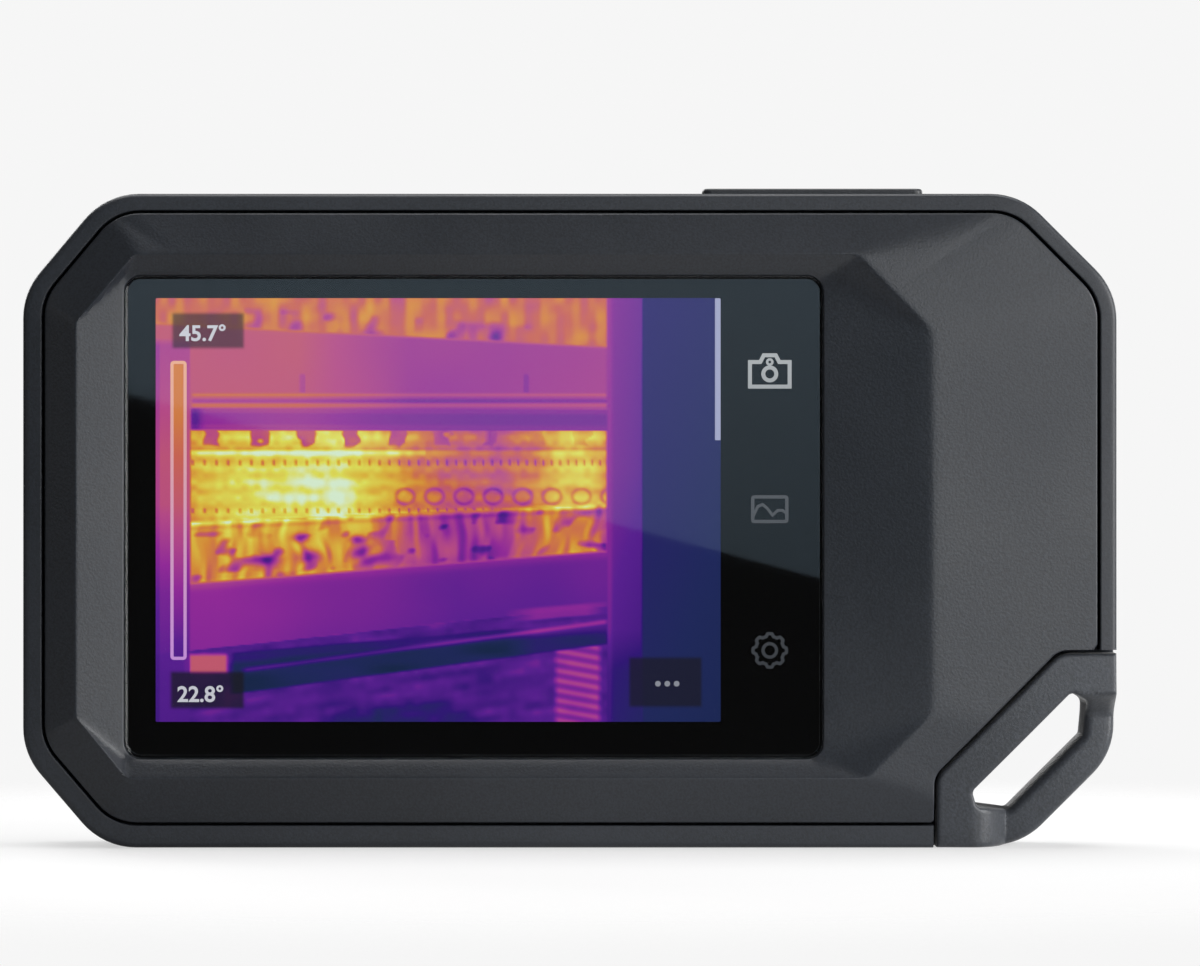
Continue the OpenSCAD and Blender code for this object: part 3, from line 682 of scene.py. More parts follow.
class Materials:
    """Every finish of the camera, built once."""

    def __init__(self) -> None:
        """Builds the finishes."""
        # Polycarbonate-ABS moulded in a spark-eroded tool: charcoal, matt, with a fine even grain.
        # The real grain is about 0.1 mm; it is drawn at 0.3 mm so that it shows.
        self.case = Finish("spark_textured_pc_abs", "#1c1f24", "#262a31", (0.34, 0.42), grain_mm=0.3,
                           grain_depth_mm=0.012, mottle_mm=30).build()
        # The rim is the same plastic with a slightly finer, silkier texture.
        self.rim = Finish("satin_moulded_rim", "#1f2227", "#292d34", (0.42, 0.5), grain_mm=0.26,
                          grain_depth_mm=0.009, mottle_mm=30).build()
        # Thermoplastic elastomer: softer gloss and a lighter, grainier face.
        self.grip = Finish("moulded_elastomer", "#292c31", "#373b42", (0.4, 0.5), grain_mm=0.34,
                           grain_depth_mm=0.013, mottle_mm=14, sheen=0.15).build()
        # Silicone: near black and dull, as it comes from a plain steel mould.
        self.silicone = Finish("moulded_silicone", "#141517", "#1d1e20", (0.55, 0.7)).build()
        # The caps share the case's texture, a shade darker and a little glossier from use.
        self.button = Finish("textured_button_cap", "#1c1f23", "#272a2f", (0.4, 0.48), grain_mm=0.28,
                             grain_depth_mm=0.01).build()
        self.glass = CoverGlass().build()
        # Black ink printed on the back of the glass: no texture, almost no light returned.
        self.ink = Finish("back_printed_ink", "#010102", "#020203", (0.6, 0.7), grain_depth_mm=0.001,
                          specular=0.0).build()
        self.picture = HeatPicture().build()
        # Polycarbonate polished in the mould and hard coated: deep black that mirrors the lights.
        self.piano = Finish("piano_black_plate", "#050506", "#08080a", (0.05, 0.1), grain_depth_mm=0.0005,
                            coat=0.6).build()
        # Turned aluminium, dyed black: fine rings from the tool catch the light as a soft streak.
        self.anodised = Finish("turned_black_anodised_ring", "#17181a", "#232427", (0.28, 0.38),
                               metallic=0.85, grain_mm=0.12, grain_depth_mm=0.004, stretch=(1, 4, 1)).build()
        # Germanium under an anti-reflection coat: a dark mirror with a purple cast.
        self.germanium = Finish("coated_germanium", "#3b3047", "#54475e", (0.05, 0.1), metallic=0.9,
                                grain_depth_mm=0.0002, coat=0.5).build()
        # Clear acrylic, polished in the mould: light passes and the rings behind it sparkle.
        self.clear = Finish("clear_optical_moulding", "#eceff0", "#f6f8f8", (0.02, 0.08),
                            grain_depth_mm=0.0005, extra={"Transmission Weight": 0.9}).build()
        # Die-cast aluminium, tumbled: a dull, slightly pebbled grey.
        self.chassis = Finish("die_cast_aluminium", "#9a9c9e", "#b4b6b8", (0.32, 0.5), metallic=1.0,
                              grain_mm=0.5, grain_depth_mm=0.02).build()
        self.board = CircuitBoard().build()
        # Epoxy round the chips: matt black with a sandy face.
        self.chip = Finish("moulded_epoxy", "#111113", "#1a1a1d", (0.45, 0.6), grain_mm=0.15).build()
        # Rolled sheet with a bright tin plate: a faint grain runs along the strip.
        self.plated = Finish("tin_plated_steel", "#a6a6a4", "#bcbcba", (0.25, 0.4), metallic=1.0,
                             grain_mm=0.2, grain_depth_mm=0.004, stretch=(1, 6, 1)).build()
        # Polyimide film over copper: smooth amber.
        self.film = Finish("polyimide_film", "#a8601a", "#c27a28", (0.2, 0.32), grain_depth_mm=0.002).build()
        # The cell's pouch: aluminium foil under nylon, in soft creases.
        self.foil = Finish("laminated_pouch_foil", "#8d9196", "#a3a7ac", (0.25, 0.45), metallic=0.9,
                           grain_mm=2.5, grain_depth_mm=0.05).build()
        # Extruded insulation: smooth and waxy.
        self.jacket = Finish("smooth_wire_jacket", "#101011", "#19191a", (0.35, 0.5),
                             grain_depth_mm=0.004).build()
        # Polycarbonate with a little white in it, so that the light spreads.
        self.guide = Finish("milky_light_guide", "#dcdedd", "#e9ebea", (0.3, 0.45)).build()
        # A gold-plated lid on the sensor: warm and nearly a mirror.
        self.gold = Finish("gold_plated_lid", "#b58a3c", "#cda24e", (0.18, 0.3), metallic=1.0,
                           grain_depth_mm=0.002).build()
        # Steel blackened so that it gives back no light to the sensor.
        self.blackened = Finish("matt_blackened_steel", "#0a0a0b", "#111112", (0.6, 0.75),
                                metallic=0.4).build()
        # Phosphor in silicone over the torch's diode: chalky yellow.
        self.phosphor = Finish("phosphor_gel", "#d9b93a", "#e7cf5c", (0.3, 0.45), grain_mm=0.2).build()
        # Nylon of the switches: off-white with a plain moulded face.
        self.switch = Finish("pale_moulded_nylon", "#b9b9b4", "#c9c9c4", (0.4, 0.55)).build()
        # Brass cut on a lathe: rings round the bore, still bright.
        self.brass = Finish("machined_brass", "#a8823f", "#c49c52", (0.2, 0.34), metallic=1.0, grain_mm=0.25,
                            grain_depth_mm=0.004, stretch=(1, 1, 6)).build()
        # Steel under black zinc: dark with a satin gleam.
        self.zinc = Finish("black_zinc_steel", "#232326", "#35353a", (0.25, 0.4), metallic=1.0,
                           grain_mm=0.2, grain_depth_mm=0.004).build()
        # Filled silicone sheet: soft, pale blue and dull.
        self.pad = Finish("silicone_thermal_pad", "#8fa6b8", "#9db3c4", (0.6, 0.75)).build()


# ---------------------------------------------------------------------------------------------
# The case


def shrunk_leg(leg: tuple[float, float], depth: float) -> tuple[float, float]:
    """Leg a, b of a cut corner once the outline is drawn in: each loses depth (1 + a/b - sqrt(1 + a2/b2))."""
    a, b = leg
    return (a - depth * (1 + a / b - math.hypot(1, a / b)), b - depth * (1 + b / a - math.hypot(1, b / a)))


@dataclass
class CaseShape:
    """Outlines and heights that the covers share with the loop."""

    box: tuple = (-69.0, 69.0, 0.0, 82.5)
    legs: tuple = ((10.1, 11.8), (11.8, 11.8), (12.2, 12.2), (10.4, 12.4))
    corner_r: float = 9.0
    band_w: float = 2.6
    seam_box: tuple = (-66.2, 66.5, 3.2, 80.0)
    seam_gap: float = 0.35
    crest_box: tuple = (-62.1, 45.6, 8.9, 74.8)
    crest_legs: tuple = ((6.4, 7.8), (8.1, 8.1), (9.4, 9.7), (7.5, 8.7))
    crest_r: float = 5.0
    glass_box: tuple = (-56.0, 31.8, 11.4, 72.0)
    glass_r: float = 2.0
    picture_box: tuple = (-52.2, 19.0, 15.9, 69.3)
    y_crest: float = -12.0
    y_bevel: float = -9.6
    y_mouth: float = -10.15
    y_ledge: float = -8.5
    y_inner: float = -7.4
    y_skirt: float = -4.7
    y_shelf: float = -4.0
    y_band: float = -9.3
    y_side: float = 5.6
    y_grip: float = 8.6
    y_grip_in: float = 6.4
    y_lens: float = 12.0
    y_lens_in: float = 9.4
    plate_box: tuple = (-49.0, -11.5, 43.0, 67.0)
    plate_leg: float = 6.0
    lens: tuple = (-37.0, 55.0)
    camera: tuple = (-20.0, 60.0)
    torch: tuple = (-20.0, 50.0)
    tripod: tuple = (0.0, 1.0)
    save_span: tuple = (16.8, 44.8)
    power_span: tuple = (-36.0, -24.0)
    loop_left: float = 46.0
    loop_top: float = 24.8
    loop_line: float = 36.9
    loop_r: float = 3.0
    loop_gap: float = 0.15
    case_screws: tuple = ((-60.5, 15.0), (-60.5, 66.0), (60.5, 66.0), (61.0, 33.0), (39.8, 8.9))
    frame_screws: tuple = ((-59.6, 24.5), (-59.6, 57.0), (34.4, 22.0), (34.4, 60.0))

    def case(self) -> Outline:
        """Outline of the whole case."""
        return Outline.octagon(self.box, self.legs, self.corner_r)

    def seam(self) -> Outline:
        """Outline of the rear cover, before the loop takes its corner."""
        legs = tuple(shrunk_leg(leg, self.band_w) for leg in self.legs)
        return Outline.octagon(self.seam_box, legs, self.corner_r - self.band_w)

    def crest(self) -> Outline:
        """Outline of the ridge round the display."""
        return Outline.octagon(self.crest_box, self.crest_legs, self.crest_r)

    def glass(self) -> Outline:
        """Outline of the cover glass."""
        return Outline.rectangle(self.glass_box, self.glass_r)

    def optics_plate(self) -> Outline:
        """Outline of the gloss plate on the lens side."""
        return Outline.octagon(self.plate_box, ((self.plate_leg, self.plate_leg),) * 4, 2.0)

    def loop_border(self, gap: float) -> tuple[list[float], list[float]]:
        """The two corners of the border between case and loop, moved away from the loop by a gap.

        The border goes up, along X - Z = constant, and across; a border that moves by g shifts its two
        corners by g (sqrt(2) - 1) along the step they end.

        Args:
            gap: how far the border moves, less than 0 for into the loop.

        Returns:
            The lower corner and the upper one.
        """
        slide = gap * (math.sqrt(2) - 1)
        return ([self.loop_left - gap, self.loop_left - self.loop_line + slide],
                [self.loop_top + self.loop_line - slide, self.loop_top + gap])

    def loop_corner(self, gap: float) -> Outline:
        """The corner of the case that the loop fills, with its border moved as loop_border says."""
        low, high = self.loop_border(gap)
        far, tiny = 200.0, LEAST_RADIUS
        corners = np.array([[low[0], -far], [far, -far], [far, high[1]], high, low])
        return Outline(corners, np.array([tiny, tiny, tiny, self.loop_r, self.loop_r]))

    def beyond_loop(self, gap: float) -> Outline:
        """Everything but the loop's corner, with its border moved as loop_border says."""
        low, high = self.loop_border(gap)
        far, tiny = 300.0, LEAST_RADIUS
        corners = np.array([[-far, -far], [low[0], -far], low, high, [far, high[1]], [far, far], [-far, far]])
        return Outline(corners, np.array([tiny, tiny, self.loop_r, self.loop_r, tiny, tiny, tiny]))


@dataclass
class RearCover:
    """The cover round the display: a ridge with a wide bevel outside it and a recess inside it."""

    shape: CaseShape
    centre: tuple = (-5.0, 41.0)
    sharpness: float = 15.0
    mouth_gap: float = 0.15
    window_margin: float = 1.35
    skirt_w: float = 1.6
    skirt_w_at_loop: float = 1.9
    case_post: tuple = ((1.25, -7.5), (2.8, -7.5), (2.8, -1.2), (1.25, -1.2))
    frame_post: tuple = ((1.0, -7.5), (2.2, -7.5), (2.2, -6.25), (1.0, -6.25))
    guide_slot: tuple = (21.65, 28.75, 18.85, 66.55)

    def __post_init__(self) -> None:
        """Sets the falls from the ridge and the bearings at which the cover's rings are made."""
        shape = self.shape
        self.outer_fall = shape.y_bevel - shape.y_crest
        self.inner_fall = shape.y_mouth - shape.y_crest
        self.window = Outline.rectangle(shape.picture_box, 0.1)
        self.compass = Compass.over(self.centre, 0.9, shape.seam(), shape.crest(), shape.glass(), self.window,
                                    shape.beyond_loop(shape.loop_gap))

    def reach(self, inset: float, gap: float) -> np.ndarray:
        """Distance to the cover's edge drawn in by an inset, beside the loop by a gap."""
        return np.minimum(self.compass.reach(self.shape.seam().inset(inset)),
                          self.compass.reach(self.shape.beyond_loop(gap)))

    def facet_depths(self, points: np.ndarray) -> tuple[np.ndarray, np.ndarray]:
        """Depths of the bevel and of the recess below the ridge.

        With p the distance outside a ridge edge, w that edge's distance from the seam and v from the
        glass, the bevel is the greatest of fall p / w over the edges and the recess is the least of
        -fall p / v, each rounded where two facets meet.

        Args:
            points: places in X and Z.

        Returns:
            The depth of the bevel and the depth of the recess.
        """
        ridge, seam = self.shape.crest(), self.shape.seam()
        outward = -ridge.edge_normals()
        base = (outward * ridge.corners).sum(1)
        ahead = np.roll(seam.corners, -1, axis=0)
        width = (((seam.corners + ahead) / 2) * outward).sum(1) - base
        run = (base[:, None] - outward @ self.shape.glass().corners.T).min(1)
        outside = points @ outward.T - base
        k = self.sharpness
        bevel = np.log(np.exp(k * self.outer_fall * outside / width).sum(1)) / k
        recess = -np.log(np.exp(k * self.inner_fall * outside / run).sum(1)) / k
        return bevel, recess

    def heights(self, points: np.ndarray, edge_depth: np.ndarray) -> np.ndarray:
        """Height of the face at points, so that the bevel ends level all round the seam."""
        bevel, recess = self.facet_depths(points)
        bevel = np.where(bevel > 0, bevel * self.outer_fall / np.maximum(edge_depth, 0.5), bevel)
        k = self.sharpness
        return self.shape.y_crest + np.log(np.exp(k * bevel) + np.exp(k * recess)) / k

    def shell(self) -> Shell:
        """The cover as one closed surface: its section, carried round the display."""
        s, compass = self.shape, self.compass
        mouth = compass.reach(s.glass().inset(-self.mouth_gap))
        ridge, edge = compass.reach(s.crest()), self.reach(0, s.loop_gap)
        window = compass.reach(self.window.inset(-self.window_margin))
        whole_edge, _ = self.facet_depths(compass.at(compass.reach(s.seam())))
        # Shares of the way from the mouth to the ridge, and from the ridge to the edge: close together
        # near the ridge, where the face turns.
        inner = [0.0, 0.28, 0.52, 0.72, 0.86, 0.94, 0.98, 1.0]
        outer = [0.015, 0.04, 0.08, 0.16, 0.3, 0.5, 0.75, 1.0]
        flats = [compass.at(mouth + (ridge - mouth) * f) for f in inner]
        flats += [compass.at(ridge + (edge - ridge) * f) for f in outer]
        face = [raised(flat, self.heights(flat, whole_edge)) for flat in flats]
        face[0][:, 1] = s.y_mouth
        skirt_in = compass.at(self.reach(self.skirt_w, self.skirt_w_at_loop))
        rings = [raised(compass.at(mouth), s.y_ledge), *face,
                 raised(flats[-1], s.y_skirt), raised(skirt_in, s.y_skirt), raised(skirt_in, s.y_inner),
                 raised(compass.at(window), s.y_inner), raised(compass.at(window), s.y_ledge)]
        radii = [0.0] + [0.22] + [0.0] * (len(face) - 2) + [0.3, 0.1, 0.0, 0.3, 0.0, 0.0]
        made = Shell().add_rings(filleted(rings, radii, True), closed=True)
        for at in s.case_screws:
            made.add_turned(self.case_post, at, 32, closed=True)
        for at in s.frame_screws:
            made.add_turned(self.frame_post, at, 32, closed=True)
        return made

    def build(self, materials: Materials) -> None:
        """Makes the cover, with the slot for the light guide behind its ledge."""
        part = Part("rear_cover_moulding", "case_plastic", nodes=("rear_cover",))
        piece = as_object(self.shell(), part.name)
        guide = Outline.rectangle(self.guide_slot, 0.2)
        cut(piece, [Shell().add_stack([guide, guide], [-9.5, -7.0], [0, 0])])
        part.place(piece, materials.case)


@dataclass
class FrontCover:
    """The tray that holds everything: rim, side walls, grip face and the raised optics island."""

    shape: CaseShape
    centre: tuple = (-15.0, 41.0)
    island_box: tuple = (-56.0, 14.0, 9.0, 74.0)
    island_leg: float = 11.0
    island_slope: float = 4.0
    grip_edge: float = 4.5
    rim_lean: float = 0.2
    wall_at_seam: float = 1.1
    wall_at_loop: float = 2.2
    room_r: float = 3.0
    lip: float = 0.22
    port_box: tuple = (-4.2, 5.1, 25.5, 42.5)
    mouth_box: tuple = (-1.5, 2.4, 28.6, 39.4)

    def __post_init__(self) -> None:
        """Sets the island's outline and the bearings at which the tray's rings are made."""
        case = self.shape.case()
        self.island = Outline.octagon(self.island_box, ((self.island_leg, self.island_leg),) * 4, 4.0)
        self.compass = Compass.over(self.centre, 1.2, case, case.inset(self.grip_edge), self.island,
                                    self.island.inset(self.island_slope), self.shape.seam())

    def shell(self) -> Shell:
        """The outside of the tray, closed across its mouth at the shelf."""
        s = self.shape
        case, mouth = s.case(), s.seam().inset(-s.seam_gap)
        # The rim's face leans outwards a little, so each side of it takes a different tone.
        steps = [(self.island.inset(9.0), s.y_lens, 0.0),
                 (self.island.inset(self.island_slope), s.y_lens, 1.3), (self.island, s.y_grip, 1.6),
                 (case.inset(self.grip_edge), s.y_grip, 2.2), (case, s.y_side, 0.9),
                 (case, s.y_band + self.rim_lean, 0.9), (mouth, s.y_band, 0.25), (mouth, s.y_shelf, 0.0)]
        rings = [raised(self.compass.at(self.compass.reach(o)), y) for o, y, _ in steps]
        return Shell().add_rings(filleted(rings, [r for *_, r in steps], False, 6))

    def cutters(self) -> list[Shell]:
        """Everything that is taken out of the tray, each with a small flare where it meets a face."""
        s, y_top, lip = self.shape, 13.0, self.lip
        corner = s.loop_corner(s.loop_gap)
        room = s.seam().inset(self.wall_at_seam).corners
        low, high = s.loop_border(self.wall_at_loop)
        notch = [[low[0], room[0, 1]], low, high, [room[3, 0], high[1]]]
        inner = Outline(np.vstack([room[:1], notch, room[3:]]), self.room_r)
        cavity = [Shell().add_stack([corner, corner], [-13, 13], [0, 0]),
                  Shell().add_stack([inner, inner], [s.y_shelf - 0.5, s.y_grip_in], [0, 0]),
                  Shell().add_stack([self.island.inset(3.0)] * 2, [s.y_grip_in - 0.5, s.y_lens_in], [0, 0])]
        recess = s.optics_plate().inset(-0.15)
        plate = Shell().add_stack([recess, recess, recess.inset(-lip), recess.inset(-lip)],
                                  [10.9, s.y_lens - lip, s.y_lens, y_top], [0, 0, 0, 0])
        holes = [Shell().add_turned([(7.15, 5.0), (7.15, 11.3)], s.lens, 96),
                 Shell().add_turned([(3.4, 5.0), (3.4, 11.3)], s.camera),
                 Shell().add_turned([(3.0, 5.0), (3.0, 11.3)], s.torch)]
        screws = Shell()
        for at in s.case_screws:
            screws.add_turned([(1.25, 0.0), (1.25, 6.6), (2.35, 6.6), (2.35, s.y_grip - lip),
                               (2.35 + lip, s.y_grip), (2.35 + lip, y_top)], at, 48)
        slots = [self.button_slot(*s.save_span), self.button_slot(*s.power_span)]
        port, mouth = Outline.rectangle(self.port_box, 1.4), Outline.rectangle(self.mouth_box, 0.8)
        side = [Shell().add_stack([port.inset(-0.2), port.inset(-0.2), port, port],
                                  [-70, -69, -68.8, -67.0], [0, 0, 0, 0], Axis.X),
                Shell().add_stack([mouth, mouth], [-67.5, -57.0], [0, 0], Axis.X),
                Shell().add_turned([(4.3, -1.0), (4.3, 0.0), (4.1, 0.2), (4.1, 1.0), (4.65, 1.0),
                                    (4.65, 7.0)], s.tripod, 64, Axis.Z)]
        return [*cavity, plate, *holes, screws, *slots, *side]

    def button_slot(self, left: float, right: float) -> Shell:
        """Slot for a button in the top wall, with a flare at its mouth and room for a flange below."""
        gap, half, lip, top = 0.2, 3.2, 0.25, self.shape.box[3]
        mouth = Outline.rectangle((left - gap, right + gap, -half - gap, half + gap), 1.4)
        room = Outline.rectangle((left - 1.3, right + 1.3, -half - 0.6, half + 0.6), 1.4)
        return Shell().add_stack([room, room, mouth, mouth, mouth.inset(-lip), mouth.inset(-lip)],
                                 [77.3, 80.3, 80.3, top - lip, top, top + 2], [0] * 6, Axis.Z)

    def build(self, materials: Materials) -> None:
        """Makes the tray and the bosses inside it."""
        part = Part("front_cover_moulding", "case_plastic", nodes=("front_cover",))
        piece = as_object(self.shell(), part.name)
        cut(piece, self.cutters())
        bosses = Shell()
        for at in self.shape.case_screws:
            bosses.add_turned([(1.25, -1.0), (2.8, -1.0), (2.8, 6.45), (1.25, 6.45)], at, 32, closed=True)
        bosses.add_turned([(4.65, 4.0), (5.6, 4.0), (5.6, 8.4), (4.65, 7.0)], self.shape.tripod, 48, Axis.Z,
                          closed=True)
        join(piece, bosses)
        part.place(piece, materials.rim)


def join(piece: bpy.types.Object, shell: Shell) -> None:
    """Adds a shell's closed surfaces to a piece's mesh."""
    work = bmesh.new()
    work.from_mesh(piece.data)
    extra = shell.mesh("extra")
    work.from_mesh(extra)
    work.to_mesh(piece.data)
    work.free()
    bpy.data.meshes.remove(extra)


@dataclass
class LanyardLoop:
    """The elastomer corner with a slanted slot; its outer arm is set back from the case's faces."""

    shape: CaseShape
    centre: tuple = (58.3, 11.0)
    slot_r: float = 0.9
    y_front: float = -9.4
    y_arm: float = -5.0
    y_back: float = 7.0
    arm_back: float = 5.0
    edge_r: float = 0.45
    arm_edge_r: float = 1.1
    lip: float = 0.4
    bar_middle: tuple = (54.2, 17.2)
    bar_w: float = 9.4
    crown: float = 0.004
    seam_gap: float = 0.3

    def slot(self) -> Outline:
        """The slot, given along and across the slanted bar."""
        middle, along = np.array(self.bar_middle), np.array([1.0, 1.0]) / math.sqrt(2)
        inward = np.array([-1.0, 1.0]) / math.sqrt(2)
        bar = self.bar_w / 2
        corners = np.array([[-9.6, -bar], [-10.6, -1.4 * bar], [-7.9, -2.1 * bar], [5.4, -2.1 * bar],
                            [8.8, -1.5 * bar], [8.2, -bar]])
        return Outline(middle + corners[:, :1] * along + corners[:, 1:] * inward, self.slot_r)

    def zone(self) -> Outline:
        """The corner of the case that the loop fills."""
        return self.shape.loop_corner(-self.seam_gap)

    def arm_share(self, flat: np.ndarray) -> np.ndarray:
        """How far a point belongs to the set-back arm, from 0 to 1.

        The share is the least of three: a fall below the top bar that is steepest at a third of its run,
        t^1.5 (2.5 - 1.5 t), one right of the left bar that is steepest at its foot, t^2, and a smooth
        step away from the slanted bar across the slot.

        Args:
            flat: places in X and Z.

        Returns:
            The share at each.
        """
        x, z = flat[:, 0], flat[:, 1]
        runs = ((19.5 - z) / 3.2, (x - 50.6) / 4.6, (x - z - 44.5) / 2.5)
        down, right, away = (np.clip(run, 0, 1) for run in runs)
        return np.minimum.reduce([down**1.5 * (2.5 - 1.5 * down), right**2, away * away * (3 - 2 * away)])

    def shell(self) -> Shell:
        """The loop as a closed surface carried round the slot, with rounded edges."""
        slot, zone, case = self.slot(), self.zone(), self.shape.case()
        compass = Compass.over(self.centre, 0.35, case, slot, zone)
        compass = Compass(compass.centre, self.fine_bearings(compass))
        depths = np.array([0.0, 0.06, 0.16, 0.32, 0.55, 0.8, 1.15])

        def outer(depth: float, lip: float = 0.0) -> np.ndarray:
            """Points of the outside, drawn in by a depth; a lip grows into the seam."""
            edges = compass.reach(case.inset(depth)), compass.reach(zone.inset(depth - lip))
            return compass.at(np.minimum(*edges))

        def inner(depth: float) -> np.ndarray:
            """Points of the slot, drawn out by a depth."""
            return compass.at(compass.reach(slot.inset(-depth)))

        last = depths[-1]
        flats = [(outer(d), d) for d in depths]
        flats += [(outer(last) * (1 - f) + inner(last) * f, last) for f in (0.25, 0.5, 0.75)]
        flats += [(inner(d), d) for d in depths[::-1]]
        front, back = [], []
        for flat, depth in flats:
            share = self.arm_share(flat)
            radius = self.edge_r + (self.arm_edge_r - self.edge_r) * share
            fall = radius - np.sqrt(np.maximum(radius**2 - np.maximum(radius - depth, 0) ** 2, 0))
            # The face is crowned along the bar, so that its upper end turns towards the light.
            crowned = self.y_front + self.crown * (flat - self.bar_middle).sum(1) ** 2 / 2
            front.append(raised(flat, crowned + (self.y_arm - self.y_front) * share + fall))
            back.append(raised(flat, self.y_back - (self.y_back - self.arm_back) * share - fall))
        lip = [raised(outer(0.0, grow), y) for grow, y in
               ((0.0, 4.0), (self.lip, 3.8), (self.lip, -3.0), (0.0, -3.2))]
        return Shell().add_rings(front + back[::-1] + lip, closed=True)

    def fine_bearings(self, compass: Compass) -> np.ndarray:
        """Bearings close enough together for the ramps, with the given ones among them."""
        even = np.linspace(-np.pi, np.pi, 720, endpoint=False)
        step = 0.004
        return np.unique(np.round(np.concatenate([compass.bearings, even]) / step)) * step

    def build(self, materials: Materials) -> None:
        """Makes the loop."""
        part = Part("lanyard_loop_moulding", "soft_grip", nodes=("lanyard_loop",))
        part.place(self.shell(), materials.grip)


# ---------------------------------------------------------------------------------------------
# The display


def value_noise(u: np.ndarray, v: np.ndarray, cell: tuple[float, float], seed: int) -> np.ndarray:
    """Smooth noise from 0 to 1: random values on a lattice, blended with smooth steps between them.

    Args:
        u: places across, in millimetres.
        v: places down, in millimetres.
        cell: the lattice's cell across and down.
        seed: of the random values.

    Returns:
        The noise at each place.
    """
    a, b = u / cell[0] + 40, v / cell[1] + 40
    i, j = np.floor(a).astype(int), np.floor(b).astype(int)
    table = np.random.default_rng(seed).random((i.max() + 2, j.max() + 2))
    fu, fv = a - i, b - j
    fu, fv = fu * fu * (3 - 2 * fu), fv * fv * (3 - 2 * fv)
    low = table[i, j] * (1 - fu) + table[i + 1, j] * fu
    high = table[i, j + 1] * (1 - fu) + table[i + 1, j + 1] * fu
    return low * (1 - fv) + high * fv


def inside(value: np.ndarray, low: float | np.ndarray, high: float | np.ndarray,
           soft: float = 0.12) -> np.ndarray:
    """Share from 0 to 1 by which a value lies between two limits, with soft ends."""
    return np.clip((value - low) / soft + 0.5, 0, 1) * np.clip((high - value) / soft + 0.5, 0, 1)


def bell(away: np.ndarray, spread: float) -> np.ndarray:
    """Bell curve exp(-d^2 / s) of a distance d and a spread s."""
    return np.exp(-(away**2) / spread)


